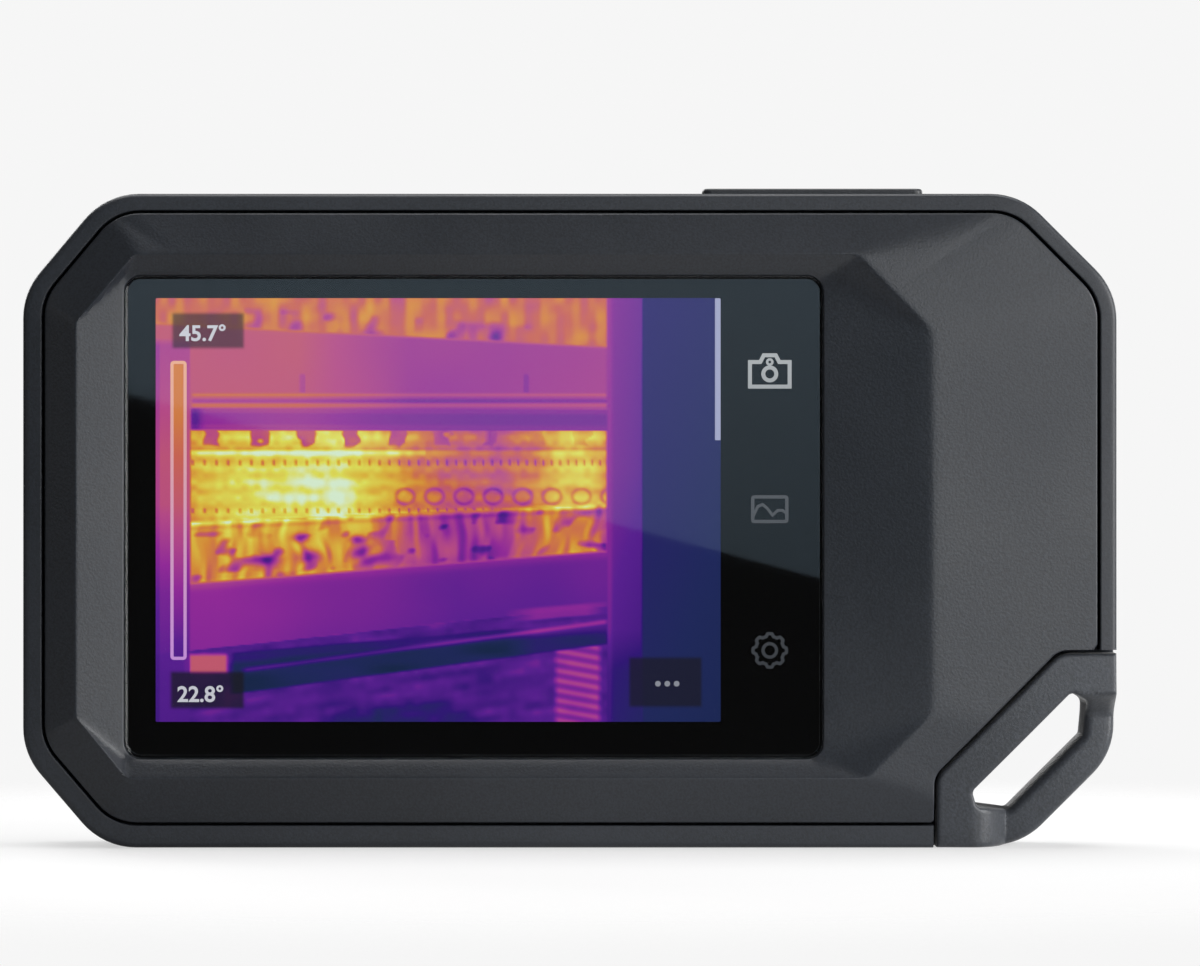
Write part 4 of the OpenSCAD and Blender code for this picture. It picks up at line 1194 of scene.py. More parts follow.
@dataclass
class HeatScene:
    """The heat that the picture shows: a warm row of terminals in a switchboard beside a cold wall.

    Places are in millimetres across and down from the picture's top left corner.
    """

    width: float = 71.2
    height: float = 53.4
    columns: int = 362
    rows: int = 272
    racks_left: float = 4.4
    racks_right: float = 57.2
    wall_left: float = 56.9
    wall_right: float = 61.3
    terminals_foot: tuple = (28.3, 0.0437)
    wires_foot: tuple = (35.9, 0.078)
    panel_foot: tuple = (44.4, 0.108)

    def grid(self) -> tuple[np.ndarray, np.ndarray]:
        """Places across and down of every point of the picture."""
        return np.meshgrid(np.linspace(0, self.width, self.columns), np.linspace(0, self.height, self.rows))

    def heat(self, u: np.ndarray, v: np.ndarray) -> np.ndarray:
        """Heat from 0 to 1, laid down layer over layer from the top of the picture to the bottom."""
        value = 0.575 - 0.115 * np.clip((u - 18) / 14, 0, 1) + 0.02 * value_noise(u, v, (9, 6), 1)
        value = value + 0.03 * np.clip((u - 44) / 12, 0, 1)
        value = self.top_ducts(u, v, value)
        value = self.rails(u, v, value)
        value = self.terminals(u, v, value)
        value = self.wires(u, v, value)
        value = self.lower_panel(u, v, value)
        value = self.cold_duct(u, v, value)
        value = self.side_wall(u, v, value)
        return np.clip(value, 0, 1)

    def over(self, under: np.ndarray, top: np.ndarray, share: np.ndarray) -> np.ndarray:
        """One layer laid over another by a share."""
        return under * (1 - share) + top * share

    def racks(self, u: np.ndarray) -> np.ndarray:
        """Share by which a place lies between the left border and the cabinet's edge."""
        return inside(u, self.racks_left, self.wall_left, 0.3)

    def foot(self, u: np.ndarray, line: tuple[float, float]) -> np.ndarray:
        """Lower edge of a layer, which rises to the right: start - slope (u - left end)."""
        return line[0] - line[1] * (u - self.racks_left)

    def top_ducts(self, u: np.ndarray, v: np.ndarray, value: np.ndarray) -> np.ndarray:
        """Warm ducts along the top, mottled, with a light lower lip that slopes down to the right."""
        lip = 3.1 + 0.053 * u
        streaks = value_noise(u, v, (1.0, 2.6), 2)
        blobs = value_noise(u + 0.4 * v, v, (1.5, 1.2), 3)
        row = np.cos(2 * np.pi * (u - 13.0 + 1.2 * blobs) / 5.1) * 0.5 + blobs
        duct = 0.61 + 0.15 * streaks - 0.06 * blobs
        duct = duct - 0.24 * np.clip(row - 0.55, 0, 1) * inside(u, 10, 47, 2) * inside(v, lip - 2.3, 9, 0.7)
        duct = duct - 0.07 * inside(u, 38, 46.5, 2) * inside(v, lip - 2.0, 9, 0.8)
        value = self.over(value, duct, inside(v, -1, lip, 0.25))
        value = value + 0.07 * bell(v - lip - 0.1, 0.03)
        for across in (18.5, 46.7):
            value = value - 0.06 * inside(u, across - 0.35, across + 0.35) * inside(v, 9.6, 11.9)
        return value

    def rails(self, u: np.ndarray, v: np.ndarray, value: np.ndarray) -> np.ndarray:
        """A thin pair of lines and the cooler rail below them."""
        pair = 0.09 * bell(v - 12.2, 0.04) - 0.1 * bell(v - 12.95, 0.05)
        pair = pair + 0.08 * bell(v - 13.5, 0.04)
        value = value + pair * inside(u, 4.6, self.wall_left, 0.4)
        slope = 0.004 * u
        rail = 0.43 - 0.06 * np.clip((u - 10) / 30, 0, 1) + 0.05 * bell(u - 18, 60)
        rail = rail + 0.05 * bell(v - 14.2 - slope, 0.05) + 0.04 * bell(v - 16.1 - slope, 0.05)
        rail = rail - 0.12 * bell(u - 5, 0.6)
        length = inside(u, self.racks_left, 58.5, 0.3)
        value = self.over(value, rail, inside(v, 13.9 + slope, 16.5 + slope, 0.3) * length)
        return value

    def terminals(self, u: np.ndarray, v: np.ndarray, value: np.ndarray) -> np.ndarray:
        """The hot band: rows of terminals with dark holes, hottest at the left and near the right end."""
        profile = np.interp(u, [4, 8, 16, 24, 31, 37, 43, 47, 51, 55, 57], [
            0.78, 0.84, 0.9, 0.92, 0.76, 0.62, 0.58, 0.68, 0.83, 0.85, 0.72])
        rows = 0.07 * bell(v - 24.3, 3.2) * bell(u - 17, 90)
        rows = rows + 0.03 * np.sin(v * 2 * np.pi / 1.9)
        texture = 0.09 * (value_noise(u, v, (0.8, 0.7), 5) - 0.5)
        texture = texture + 0.08 * (value_noise(u, v, (2.3, 1.6), 6) - 0.5)
        band = profile + rows + texture
        pitch = 1.58 - 0.006 * u
        holes = np.clip(np.cos(2 * np.pi * u / pitch) * 1.6 - 0.7, 0, 1)
        band = band - 0.2 * holes * (inside(v, 20.4, 21.1, 0.25) + inside(v, 26.5, 27.1, 0.25))
        band = band + 0.1 * bell(v - 19.5, 0.12) * (u < 34) - 0.1 * bell(v - 19.0, 0.06)
        loops = np.abs(np.hypot((np.mod(u, 3.7) - 1.85) / 1.15, (v - 25.0) / 0.95) - 1)
        band = band - 0.14 * bell(loops, 0.05) * inside(u, 30, 57, 1.0)
        ragged = value_noise(u, v, (1.3, 0.9), 7)
        teeth = np.cos(2 * np.pi * (u - 7.06 - 0.5 * (ragged - 0.5)) / 5.83) + 1.1 * (ragged - 0.5)
        cool = 0.52 - 0.1 * np.clip((u - 25) / 20, 0, 1) + 0.1 * ragged
        tall = 18.9 - 0.5 * ragged
        band = self.over(band, cool, np.clip((teeth - 0.42) * 4, 0, 1) * inside(v, 16, tall, 0.4)
                         * (1 - 0.8 * inside(u, 46, 58, 1)))
        bottom = self.foot(u, self.terminals_foot)
        return self.over(value, band, inside(v, 16.7, bottom, 0.2) * self.racks(u))

    def wires(self, u: np.ndarray, v: np.ndarray, value: np.ndarray) -> np.ndarray:
        """Wires that leave the terminals downwards, with cool gaps between them."""
        top, bottom = self.foot(u, self.terminals_foot), self.foot(u, self.wires_foot)
        depth = np.clip((v - top) / np.maximum(bottom - top, 0.1), 0, 1)
        profile = np.interp(u, [4, 12, 22, 29, 34, 40, 45, 50, 54, 57],
                            [0.8, 0.84, 0.82, 0.7, 0.58, 0.5, 0.62, 0.8, 0.82, 0.62])
        bend = 1.4 * (value_noise(u, v, (5, 3), 8) - 0.5)
        strands = value_noise(u + bend, v, (0.75, 3.2), 9)
        gaps = value_noise(u + bend + 0.45 * v, v - 0.2 * bend * u / 10, (1.5, 1.1), 10)
        band = profile - 0.1 * depth + 0.22 * (strands - 0.5) - 0.75 * np.clip(gaps - 0.62, 0, 1)
        for at, low, size in ((14.3, 33.0, 1.3), (18.2, 30.2, 1.0), (19.5, 32.6, 1.6), (25.4, 30.4, 0.9)):
            band = band - 0.36 * np.exp(-(((u - at) / size) ** 2 + ((v - low) / (0.55 * size)) ** 2))
        value = self.over(value, band, inside(v, top, bottom, 0.25) * self.racks(u))
        line = bell(v - top - 0.1, 0.07) * inside(u, self.racks_left, self.racks_right, 0.3)
        lip = bell(v - bottom, 0.08) * inside(u, self.racks_left, self.racks_right, 0.3)
        return value + (0.14 * line - 0.07 * bell(v - top - 0.75, 0.08) * line.max()
                        * inside(u, self.racks_left, self.racks_right, 0.3)) + 0.04 * lip

    def lower_panel(self, u: np.ndarray, v: np.ndarray, value: np.ndarray) -> np.ndarray:
        """A smooth cooler panel, then the dark mottled depth of the cabinet."""
        top, bottom = self.foot(u, self.wires_foot), self.foot(u, self.panel_foot)
        panel = 0.43 - 0.1 * np.clip((u - 8) / 30, 0, 1) - 0.03 * (v - 36) / 8
        panel = panel + 0.02 * value_noise(u, v, (7, 4), 11)
        panel = panel + 0.05 * bell(v - top - 0.4, 0.3)
        value = self.over(value, panel, inside(v, top + 0.25, bottom, 0.2))
        depths = 0.2 + 0.12 * value_noise(u, v + 0.13 * u, (3.2, 0.9), 12)
        depths = depths + 0.05 * value_noise(u, v, (1, 1), 13)
        depths = depths - 0.12 * inside(v, 51.0, 60, 2) * inside(u, 22, 40, 6)
        value = self.over(value, depths, inside(v, bottom, 60, 0.2))
        hatch = 0.42 + 0.07 * np.sin(2 * np.pi * (v - 0.18 * u) / 1.25)
        hatch = hatch + 0.04 * value_noise(u, v, (1.5, 2), 14)
        return self.over(value, hatch, inside(u, 50.4, 56.0, 0.8) * inside(v, 43.5, 60, 0.5))

    def cold_duct(self, u: np.ndarray, v: np.ndarray, value: np.ndarray) -> np.ndarray:
        """The coldest thing in view: a long duct across the bottom with a light edge along it."""
        top, bottom = 44.6 - 0.085 * (u - 11), 49.7 - 0.133 * (u - 11)
        duct = 0.03 + 0.09 * value_noise(u, v, (6, 1.2), 15) + 0.1 * inside(v, top - 1, top + 1.2, 0.8)
        duct = duct + 0.08 * inside(u, 46, 60, 4)
        value = self.over(value, duct, inside(v, top, bottom, 0.35) * inside(u, 9.6, 57.8, 0.8))
        warm = inside(u, 46, 56.2, 4) * inside(v, top - 2.4, top - 0.9, 0.4)
        value = self.over(value, np.full_like(u, 0.44), warm * 0.8)
        value = self.over(value, np.full_like(u, 0.6), inside(u, 3.6, 9.0, 0.5) * inside(v, 44.9, 47.3, 0.5))
        edge = bell(v - 46.9 + 0.133 * (u - 11), 0.09)
        return value + 0.2 * edge * inside(u, 11, 57, 1.0)

    def side_wall(self, u: np.ndarray, v: np.ndarray, value: np.ndarray) -> np.ndarray:
        """The cabinet's edge at the right and the cold wall beyond, and the warm border at the left."""
        down = v / self.height
        edge = 0.41 - 0.06 * down - 0.05 * (u - self.wall_left) / 4.4 - 0.14 * np.clip(down - 0.4, 0, 1)
        edge = edge - 0.09 * np.clip((down - 0.78) / 0.1, 0, 1)
        edge = edge + 0.06 * bell(u - self.wall_left - 0.3, 0.12)
        value = self.over(value, edge, inside(u, self.wall_left, self.wall_right, 0.3))
        cold = 0.165 - 0.06 * down - 0.003 * (u - self.wall_right)
        value = self.over(value, cold, inside(u, self.wall_right, 90, 0.3))
        border = np.interp(v, [0, 6, 20, 26, 36, 48, 53], [0.5, 0.5, 0.58, 0.57, 0.38, 0.3, 0.28])
        border = border - 0.05 * (u < 0.5)
        value = self.over(value, border, inside(u, -1, 4.3, 0.25) * inside(v, 5.5, 60, 1.0) * 0.9)
        bar = np.interp(v, [8, 15, 20, 26, 31, 36, 40, 45.5], [0.7, 0.69, 0.64, 0.6, 0.53, 0.45, 0.38, 0.28])
        return self.over(value, bar, inside(u, 2.1, 3.6, 0.15) * inside(v, 8.2, 45.3, 0.2))

    def shade(self, u: np.ndarray, v: np.ndarray) -> np.ndarray:
        """Share by which the boxes behind the labels darken the picture."""
        boxes = [(2.1, 11.1, 1.9, 6.3, 0.78), (1.9, 11.1, 47.1, 51.7, 0.86), (59.7, 68.8, 45.3, 51.5, 0.8)]
        share = np.zeros_like(u)
        for left, right, top, low, amount in boxes:
            share = np.maximum(share, amount * inside(u, left, right, 0.4) * inside(v, top, low, 0.4))
        return share


@dataclass
class Display:
    """Cover glass, the ink behind it, the lit picture and the lit marks."""

    shape: CaseShape
    y_glass: float = -10.0
    y_back: float = -8.9
    y_marks: float = -8.893
    y_ink: float = -8.886
    y_picture: float = -8.868
    mark_t: float = 0.003

    def build(self, materials: Materials) -> None:
        """Makes the display's pieces from the glass inwards."""
        self.glass(materials)
        self.ink(materials)
        self.picture(materials)
        self.labels()
        self.keys()

    def glass(self, materials: Materials) -> None:
        """A plate with a ground edge."""
        plate = self.shape.glass()
        edge = 0.3
        made = Shell().add_stack([plate.inset(edge), plate.inset(edge), plate, plate, plate.inset(0.1)],
                                 [self.y_glass, self.y_glass, self.y_glass + edge, self.y_back - 0.1,
                                  self.y_back], [0, 0.12, 0.12, 0, 0], steps=3)
        Part("display_cover_glass", "cover_glass", nodes=("display_glass",)).place(made, materials.glass)

    def ink(self, materials: Materials) -> None:
        """The printed border, open where the picture shows."""
        box = self.shape.picture_box
        window = Outline.rectangle(box, 0.15)
        border = self.shape.glass().inset(0.35)
        compass = Compass.over((-15.0, 42.0), 3.0, border, window)
        outer, inner = (compass.at(compass.reach(o)) for o in (border, window))
        y_end = self.y_ink + 0.008
        rings = [raised(inner, self.y_ink), raised(outer, self.y_ink), raised(outer, y_end),
                 raised(inner, y_end)]
        Part("display_ink_border", "gloss_bezel").place(Shell().add_rings(rings, closed=True), materials.ink)

    def picture(self, materials: Materials) -> None:
        """The lit panel: a thin plate whose front is a fine grid that carries the heat."""
        scene = HeatScene()
        u, v = scene.grid()
        left, top = self.shape.picture_box[0], self.shape.picture_box[3]
        reach = 0.4  # the panel runs on behind the ink
        x = left + (u - scene.width / 2) * (1 + 2 * reach / scene.width) + scene.width / 2
        z = top - ((v - scene.height / 2) * (1 + 2 * reach / scene.height) + scene.height / 2)
        real_u, real_v = x - left, top - z
        rows, columns = u.shape
        index = np.arange(rows * columns).reshape(rows, columns)
        quads = np.stack([index[:-1, :-1], index[:-1, 1:], index[1:, 1:], index[1:, :-1]], -1).reshape(-1, 4)
        rim = np.concatenate([index[0], index[1:, -1], index[-1, -2::-1], index[-2:0:-1, 0]])
        front = np.stack([x, np.full_like(x, self.y_picture), z], -1).reshape(-1, 3)
        rear = front[rim] + [0, 0.012, 0]
        second = np.arange(len(rim)) + len(front)
        sides = np.stack([rim, second, np.roll(second, -1), np.roll(rim, -1)], -1)
        mesh = bpy.data.meshes.new("display_picture")
        faces = [*quads.tolist(), *sides.tolist(), second.tolist()]
        mesh.from_pydata((np.concatenate([front, rear]) * MM).tolist(), [], faces)
        for name, share in (("warmth", scene.heat(real_u, real_v)), ("shade", scene.shade(real_u, real_v))):
            values = np.concatenate([share.ravel(), share.ravel()[rim]]).astype(np.float32)
            mesh.attributes.new(name, "FLOAT", "POINT").data.foreach_set("value", values)
        tidy_mesh(mesh, merge=False)
        Part("display_picture", "lcd").place(mesh, materials.picture)

    def ribbon(self, line: np.ndarray, width: float, closed: bool, y: float) -> Shell:
        """A flat stroke along a line, as a thin plate.

        Each side is the line moved by half the width along the mean of its neighbours' normals,
        lengthened so that the stroke keeps its width at corners.

        Args:
            line: points in X and Z.
            width: of the stroke.
            closed: whether the line is a ring.
            y: height of the stroke's front.

        Returns:
            The stroke.
        """
        ahead = np.roll(line, -1, axis=0) - line
        if not closed:
            ahead[-1] = ahead[-2]
        step = unit(ahead)
        before = np.roll(step, 1, axis=0)
        if not closed:
            before[0] = step[0]
        normal = np.stack([-step[:, 1], step[:, 0]], 1) + np.stack([-before[:, 1], before[:, 0]], 1)
        share = 1 + (step * before).sum(1)
        offset = normal / np.maximum(share, 0.3)[:, None] * width / 2
        corners = [raised(line + offset, y), raised(line - offset, y),
                   raised(line - offset, y + self.mark_t), raised(line + offset, y + self.mark_t)]
        count = len(line)
        index = np.arange(4 * count).reshape(4, count)
        end = count if closed else count - 1
        faces = []
        for side in range(4):
            a, b = index[side], index[(side + 1) % 4]
            nxt = np.roll(np.arange(count), -1)
            faces += np.stack([a, b, b[nxt], a[nxt]], -1)[:end].tolist()
        if not closed:
            faces += [index[:, 0].tolist(), index[::-1, -1].tolist()]
        return Shell().add(np.concatenate(corners), faces)

    def strokes(self, lines: list[tuple[np.ndarray, float, bool]], y: float) -> Shell:
        """Several strokes in one shell."""
        made = Shell()
        for line, width, closed in lines:
            made.include(self.ribbon(line, width, closed, y))
        return made

    def disc(self, centre: tuple[float, float], radius: float, y: float) -> Shell:
        """A thin round plate."""
        ring = Outline.circle(centre, radius, 24).corners
        return Shell().add_rings([raised(ring, y), raised(ring, y + self.mark_t)])

    def labels(self) -> None:
        """The scale bar's frame, the two readings, the tab and the three dots."""
        left, _, _, top = self.shape.picture_box
        y = self.y_ink + 0.009
        frame = Outline.rectangle((left + 2.05, left + 3.7, top - 45.4, top - 8.1), 0.25)
        pale = Lit("lit_scale_frame", "#c993dc", "#f0b394", (top - 45, top - 8)).build()
        Part("scale_bar_frame", "lcd").place(self.ribbon(frame.points(3), 0.4, True, y), pale)
        white = Lit("lit_reading", "#c8c9d2", "#d3d2da").build()
        readings = (("reading_high", "45.7°", 3.0, 5.35), ("reading_low", "22.8°", 2.7, 50.85))
        for name, words, across, down in readings:
            self.reading(name, words, (left + across, y, top - down), white)
        tab = np.array([[left + 70.85, top], [left + 70.85, top - 17.9]])
        blue = Lit("lit_tab", "#9fa3c6", "#a9acca").build()
        Part("scroll_tab", "lcd").place(self.ribbon(tab, 0.7, False, y), blue)
        dots = Shell()
        for k in range(3):
            dots.include(self.disc((left + 63.3 + 1.18 * k, top - 48.6), 0.36, y))
        Part("menu_dots", "lcd").place(dots, Lit("lit_dots", "#8b8d98", "#9496a1").build())

    def reading(self, name: str, words: str, at: tuple, material: bpy.types.Material) -> None:
        """A number in plain figures.

        Args:
            name: of the piece.
            words: the figures.
            at: left end, height of the front, and foot.
            material: what they are lit with.
        """
        x, y, z = at
        curve = bpy.data.curves.new(name, "FONT")
        curve.body, curve.size, curve.space_character = words, 2.75 * MM, 1.0
        curve.extrude, curve.offset, curve.resolution_u = self.mark_t / 2 * MM, 0.06 * MM, 4
        carrier = bpy.data.objects.new(name, curve)
        bpy.context.scene.collection.objects.link(carrier)
        bpy.context.view_layer.update()
        graph = bpy.context.evaluated_depsgraph_get()
        mesh = bpy.data.meshes.new_from_object(carrier.evaluated_get(graph))
        bpy.data.objects.remove(carrier)
        flat = np.zeros(len(mesh.vertices) * 3, np.float32)
        mesh.vertices.foreach_get("co", flat)
        flat = flat.reshape(-1, 3)
        placed = np.column_stack([flat[:, 0] * 1.02 + x * MM, y * MM - flat[:, 2], flat[:, 1] + z * MM])
        mesh.vertices.foreach_set("co", placed.astype(np.float32).ravel())
        tidy_mesh(mesh)
        Part(name, "lcd").place(mesh, material)

    def keys(self) -> None:
        """Three touch keys beside the picture: take a picture, look at pictures, settings."""
        x, y, width = 25.2, self.y_marks, 0.42
        bright = Lit("lit_key_bright", "#a9abad", "#b4b6b8", (58, 64), 1.0).build()
        dim = Lit("lit_key_dim", "#3c3f44", "#54565a", (22, 46), 1.0).build()
        z = 59.9
        body = np.array([[-2.5, -1.75], [2.5, -1.75], [2.5, 1.35], [1.2, 1.35], [0.75, 2.2], [-0.75, 2.2],
                         [-1.2, 1.35], [-2.5, 1.35]]) + [x, z]
        ring = Outline.circle((x, z - 0.15), 0.82, 32).corners
        hood = Outline.circle((x, z + 1.35), 0.33, 16).corners
        Part("key_take_picture", "light_guide").place(
            self.strokes([(body, 0.5, True), (ring, 0.5, True), (hood, 0.3, True)], y), bright)
        z = 42.7
        frame = Outline.rectangle((x - 2.15, x + 2.15, z - 1.55, z + 1.55), 0.2).points(2)
        hills = np.array([[-2.1, -0.9], [-1.5, 0.35], [-0.9, 0.6], [-0.3, 0.1], [0.35, -0.75], [1.0, -0.15],
                          [1.6, -0.15], [2.1, -0.5]]) + [x, z]
        Part("key_pictures", "light_guide").place(
            self.strokes([(frame, width, True), (hills, 0.36, False)], y), dim)
        z = 24.9
        angle = np.linspace(0, 2 * np.pi, 96, endpoint=False)
        wheel = 1.95 + 0.16 * np.clip(2.2 * np.cos(8 * angle), -1, 1)
        cog = np.stack([x + wheel * np.cos(angle), z + wheel * np.sin(angle)], 1)
        hub = Outline.circle((x, z), 0.85, 32).corners
        Part("key_settings", "light_guide").place(self.strokes([(cog, 0.4, True), (hub, 0.4, True)], y), dim)


# ---------------------------------------------------------------------------------------------
# Buttons, port flap, optics, fastenings


@dataclass
class TopButtons:
    """The long save button that stands proud of the top wall and the flush power button."""

    shape: CaseShape
    z_low: float = 79.0
    z_flange: float = 80.15
    half: float = 3.2

    def cap(self, left: float, right: float, top: float, dish: float) -> Shell:
        """A button: flange, straight sides, rounded top edge and a shallow dish."""
        bar = Outline.rectangle((left, right, -self.half, self.half), 1.2)
        flange = Outline.rectangle((left - 1.1, right + 1.1, -self.half - 0.4, self.half + 0.4), 1.2)
        return Shell().add_stack(
            [flange, flange, bar, bar, bar.inset(1.0), bar.inset(2.2)],
            [self.z_low, self.z_flange, self.z_flange, top, top, top - dish],
            [0, 0.1, 0, 0.45, 0.4, 0], Axis.Z, 5)

    def build(self, materials: Materials) -> None:
        """Makes the two caps."""
        save = self.cap(*self.shape.save_span, 83.4, 0.25)
        for x in (26.8, 30.8, 34.8):  # three raised bars that the finger finds
            bar = Outline.rectangle((x - 0.4, x + 0.4, -0.9, 0.9), 0.3)
            save.add_stack([bar, bar, bar.inset(0.15)], [83.0, 83.2, 83.32], [0, 0, 0], Axis.Z)
        Part("save_button_cap", "button_plastic", "save_key", ("save_button",)).place(save, materials.button)
        power = self.cap(*self.shape.power_span, 82.5, 0.2)
        ring = Shell().add_turned([(1.1, 82.2), (1.5, 82.2), (1.45, 82.42), (1.15, 82.42)], (-30, 0), 40,
                                  Axis.Z, closed=True)
        power.include(ring)
        part = Part("power_button_cap", "button_plastic", "power_key", ("power_button",))
        part.place(power, materials.button)


@dataclass
class PortFlap:
    """Elastomer flap over the charging port, with a finger nick at its free end."""

    face_box: tuple = (-3.95, 4.85, 25.75, 42.25)
    plug_box: tuple = (-0.9, 1.8, 29.4, 38.5)
    corner_r: float = 1.2
    nick_r: float = 1.25

    def build(self, materials: Materials) -> None:
        """Makes the flap and the plug on its inner face."""
        face, plug = (Outline.rectangle(box, self.corner_r) for box in (self.face_box, self.plug_box))
        made = Shell().add_stack([face.inset(1.5), face, face, face.inset(0.8)],
                                 [-69.0, -69.0, -67.05, -67.05], [0, 0.5, 0.2, 0], Axis.X)
        piece = as_object(made, "port_flap_moulding")
        scoop = Shell().add_turned([(self.nick_r, -2.2), (self.nick_r, 3.1)], (-69.0, 42.3), 40)
        cut(piece, [scoop])
        tongue = Shell().add_stack([plug, plug, plug.inset(0.3)], [-67.15, -66.5, -66.3], [0, 0.1, 0], Axis.X)
        join(piece, tongue)
        Part("port_flap_moulding", "soft_grip", "port_flap", ("usb_flap",)).place(piece, materials.grip)


@dataclass
class Optics:
    """Gloss plate on the lens side with the infrared lens, the camera window and the torch."""

    shape: CaseShape
    dome_r: float = 4.2
    dome_rise: float = 0.5
    torch_rings: int = 7

    def build(self, materials: Materials) -> None:
        """Makes the optics from the plate inwards."""
        self.plate(materials)
        ring = [(4.9, 10.05), (7.0, 10.05), (7.0, 11.7), (6.25, 11.7), (5.9, 11.3), (5.65, 11.3), (5.4, 10.9),
                (5.1, 10.9), (4.6, 10.3)]
        radii = [0, 0, 0.25, 0.15, 0.05, 0.05, 0.05, 0.05, 0]
        Part("lens_ring_turned", "anodised_ring", nodes=("lens_ring",)).place(
            Shell().add_turned(ring, self.shape.lens, 96, closed=True, radii=radii), materials.anodised)
        # A cap of radius r and rise h belongs to a sphere of radius (r^2 + h^2) / 2h.
        radius = self.dome_r
        sphere = (radius**2 + self.dome_rise**2) / (2 * self.dome_rise)
        r = np.linspace(radius, 0.01, 14)
        dome = [(a, 9.8 - sphere + math.sqrt(sphere**2 - a**2)) for a in r.tolist()]
        Part("infrared_lens", "germanium", nodes=("ir_lens",)).place(
            Shell().add_turned([(0.01, 8.4), (radius, 8.4), *dome], self.shape.lens, 96), materials.germanium)
        window = [(0.01, 11.0), (3.4, 11.0), (3.4, 11.6), (3.3, 11.7), (0.01, 11.7)]
        Part("camera_window_glass", "cover_glass", nodes=("camera_window",)).place(
            Shell().add_turned(window, self.shape.camera, 72), materials.glass)
        eye = [(0.01, 10.55), (2.9, 10.55), (2.9, 10.85), (2.3, 10.8), (1.9, 10.7), (1.4, 10.72),
               (1.2, 10.62), (0.9, 10.75), (0.5, 10.84), (0.01, 10.87)]
        Part("camera_eye", "gloss_bezel").place(
            Shell().add_turned(eye, self.shape.camera, 72), materials.piano)
        grooves = [(0.01, 9.6), (2.9, 9.6), (2.9, 11.6), (2.8, 11.7)]
        for k in range(self.torch_rings):  # stepped rings that spread the light
            out = 2.6 - 0.34 * k
            grooves += [(out, 11.68), (out - 0.3, 11.45)]
        Part("torch_lens_moulding", "light_guide", nodes=("torch_lens",)).place(
            Shell().add_turned([*grooves, (0.01, 11.6)], self.shape.torch, 72), materials.clear)

    def plate(self, materials: Materials) -> None:
        """The gloss plate, with a chamfered hole for each of the optics."""
        outline = self.shape.optics_plate()
        made = Shell().add_stack([outline.inset(1.0), outline, outline, outline.inset(2.0)],
                                 [10.95, 10.95, 11.95, 11.95], [0, 0, 0.25, 0], steps=5)
        piece = as_object(made, "optics_plate")
        holes = ((self.shape.lens, 7.1), (self.shape.camera, 3.5), (self.shape.torch, 3.0))
        cut(piece, [self.hole(at, radius) for at, radius in holes])
        Part("optics_plate", "gloss_bezel", nodes=("optics_bezel",)).place(piece, materials.piano)

    def hole(self, at: tuple[float, float], radius: float) -> Shell:
        """A round cutter that opens at the plate's face."""
        wide = radius + 0.2
        return Shell().add_turned([(radius, 10), (radius, 11.75), (wide, 11.95), (wide, 12.5)], at, 96)


@dataclass
class Fastenings:
    """Case screws with six-lobed recesses, and the threaded insert for a tripod."""

    shape: CaseShape
    minor_r: float = 2.55
    thread_depth: float = 0.35
    pitch: float = 1.27
    sides: int = 72

    def screws(self) -> Shell:
        """The five screws: shank, domed head and a lobed recess sunk into it.

        The recess is the ring r = 0.95 + 0.13 cos(6 a) at each bearing a.
        """
        ring = ring_of(self.sides)
        angle = np.linspace(0, 2 * np.pi, self.sides, endpoint=False)
        lobes = ring * (0.95 + 0.13 * np.cos(6 * angle))[:, None]
        made = Shell()
        steps = [(ring * 0.6, -5.0), (ring * 1.1, -4.4), (ring * 1.15, 6.6), (ring * 2.15, 6.6),
                 (ring * 2.2, 6.75), (ring * 2.15, 7.6), (ring * 1.95, 7.95), (ring * 1.6, 8.15),
                 (lobes * 1.08, 8.2), (lobes, 8.1), (lobes * 0.98, 7.2)]
        for at in self.shape.case_screws:
            made.add_rings([raised(np.array(at) + flat, y) for flat, y in steps])
        return made

    def insert(self) -> Shell:
        """The insert: a tube whose bore carries a thread.

        The bore's radius is minor + depth (1 - |2 frac(z / pitch - a / 2 pi) - 1|), faded out at both ends.
        """
        levels = 84
        angle = np.linspace(0, 2 * np.pi, self.sides, endpoint=False)
        z = np.linspace(0.35, 6.15, levels)
        turn = np.mod(z[:, None] / self.pitch - angle / (2 * np.pi), 1)
        fade = np.clip(np.minimum(z - 0.35, 6.15 - z) / 0.5, 0, 1)[:, None]
        radius = self.minor_r + self.thread_depth * (1 - np.abs(2 * turn - 1)) * fade
        ring, at = ring_of(self.sides), np.array(self.shape.tripod)
        bore = [raised(at + ring * radius[k][:, None], z[k], Axis.Z) for k in range(levels)]
        wall = [(4.35, 6.5), (4.6, 6.25), (4.6, 1.05), (4.05, 1.05), (4.05, 0.15), (3.9, 0.0), (2.9, 0.0)]
        outside = [raised(at + ring * r, h, Axis.Z) for r, h in wall]
        return Shell().add_rings([*bore, raised(at + ring * 2.7, 6.5, Axis.Z), *outside], closed=True)

    def build(self, materials: Materials) -> None:
        """Makes the screws and the insert."""
        Part("case_screw_set", "screw_steel", nodes=("case_screws",)).place(self.screws(), materials.zinc)
        part = Part("tripod_thread_insert", "brass_insert", nodes=("tripod_insert",))
        part.place(self.insert(), materials.brass)


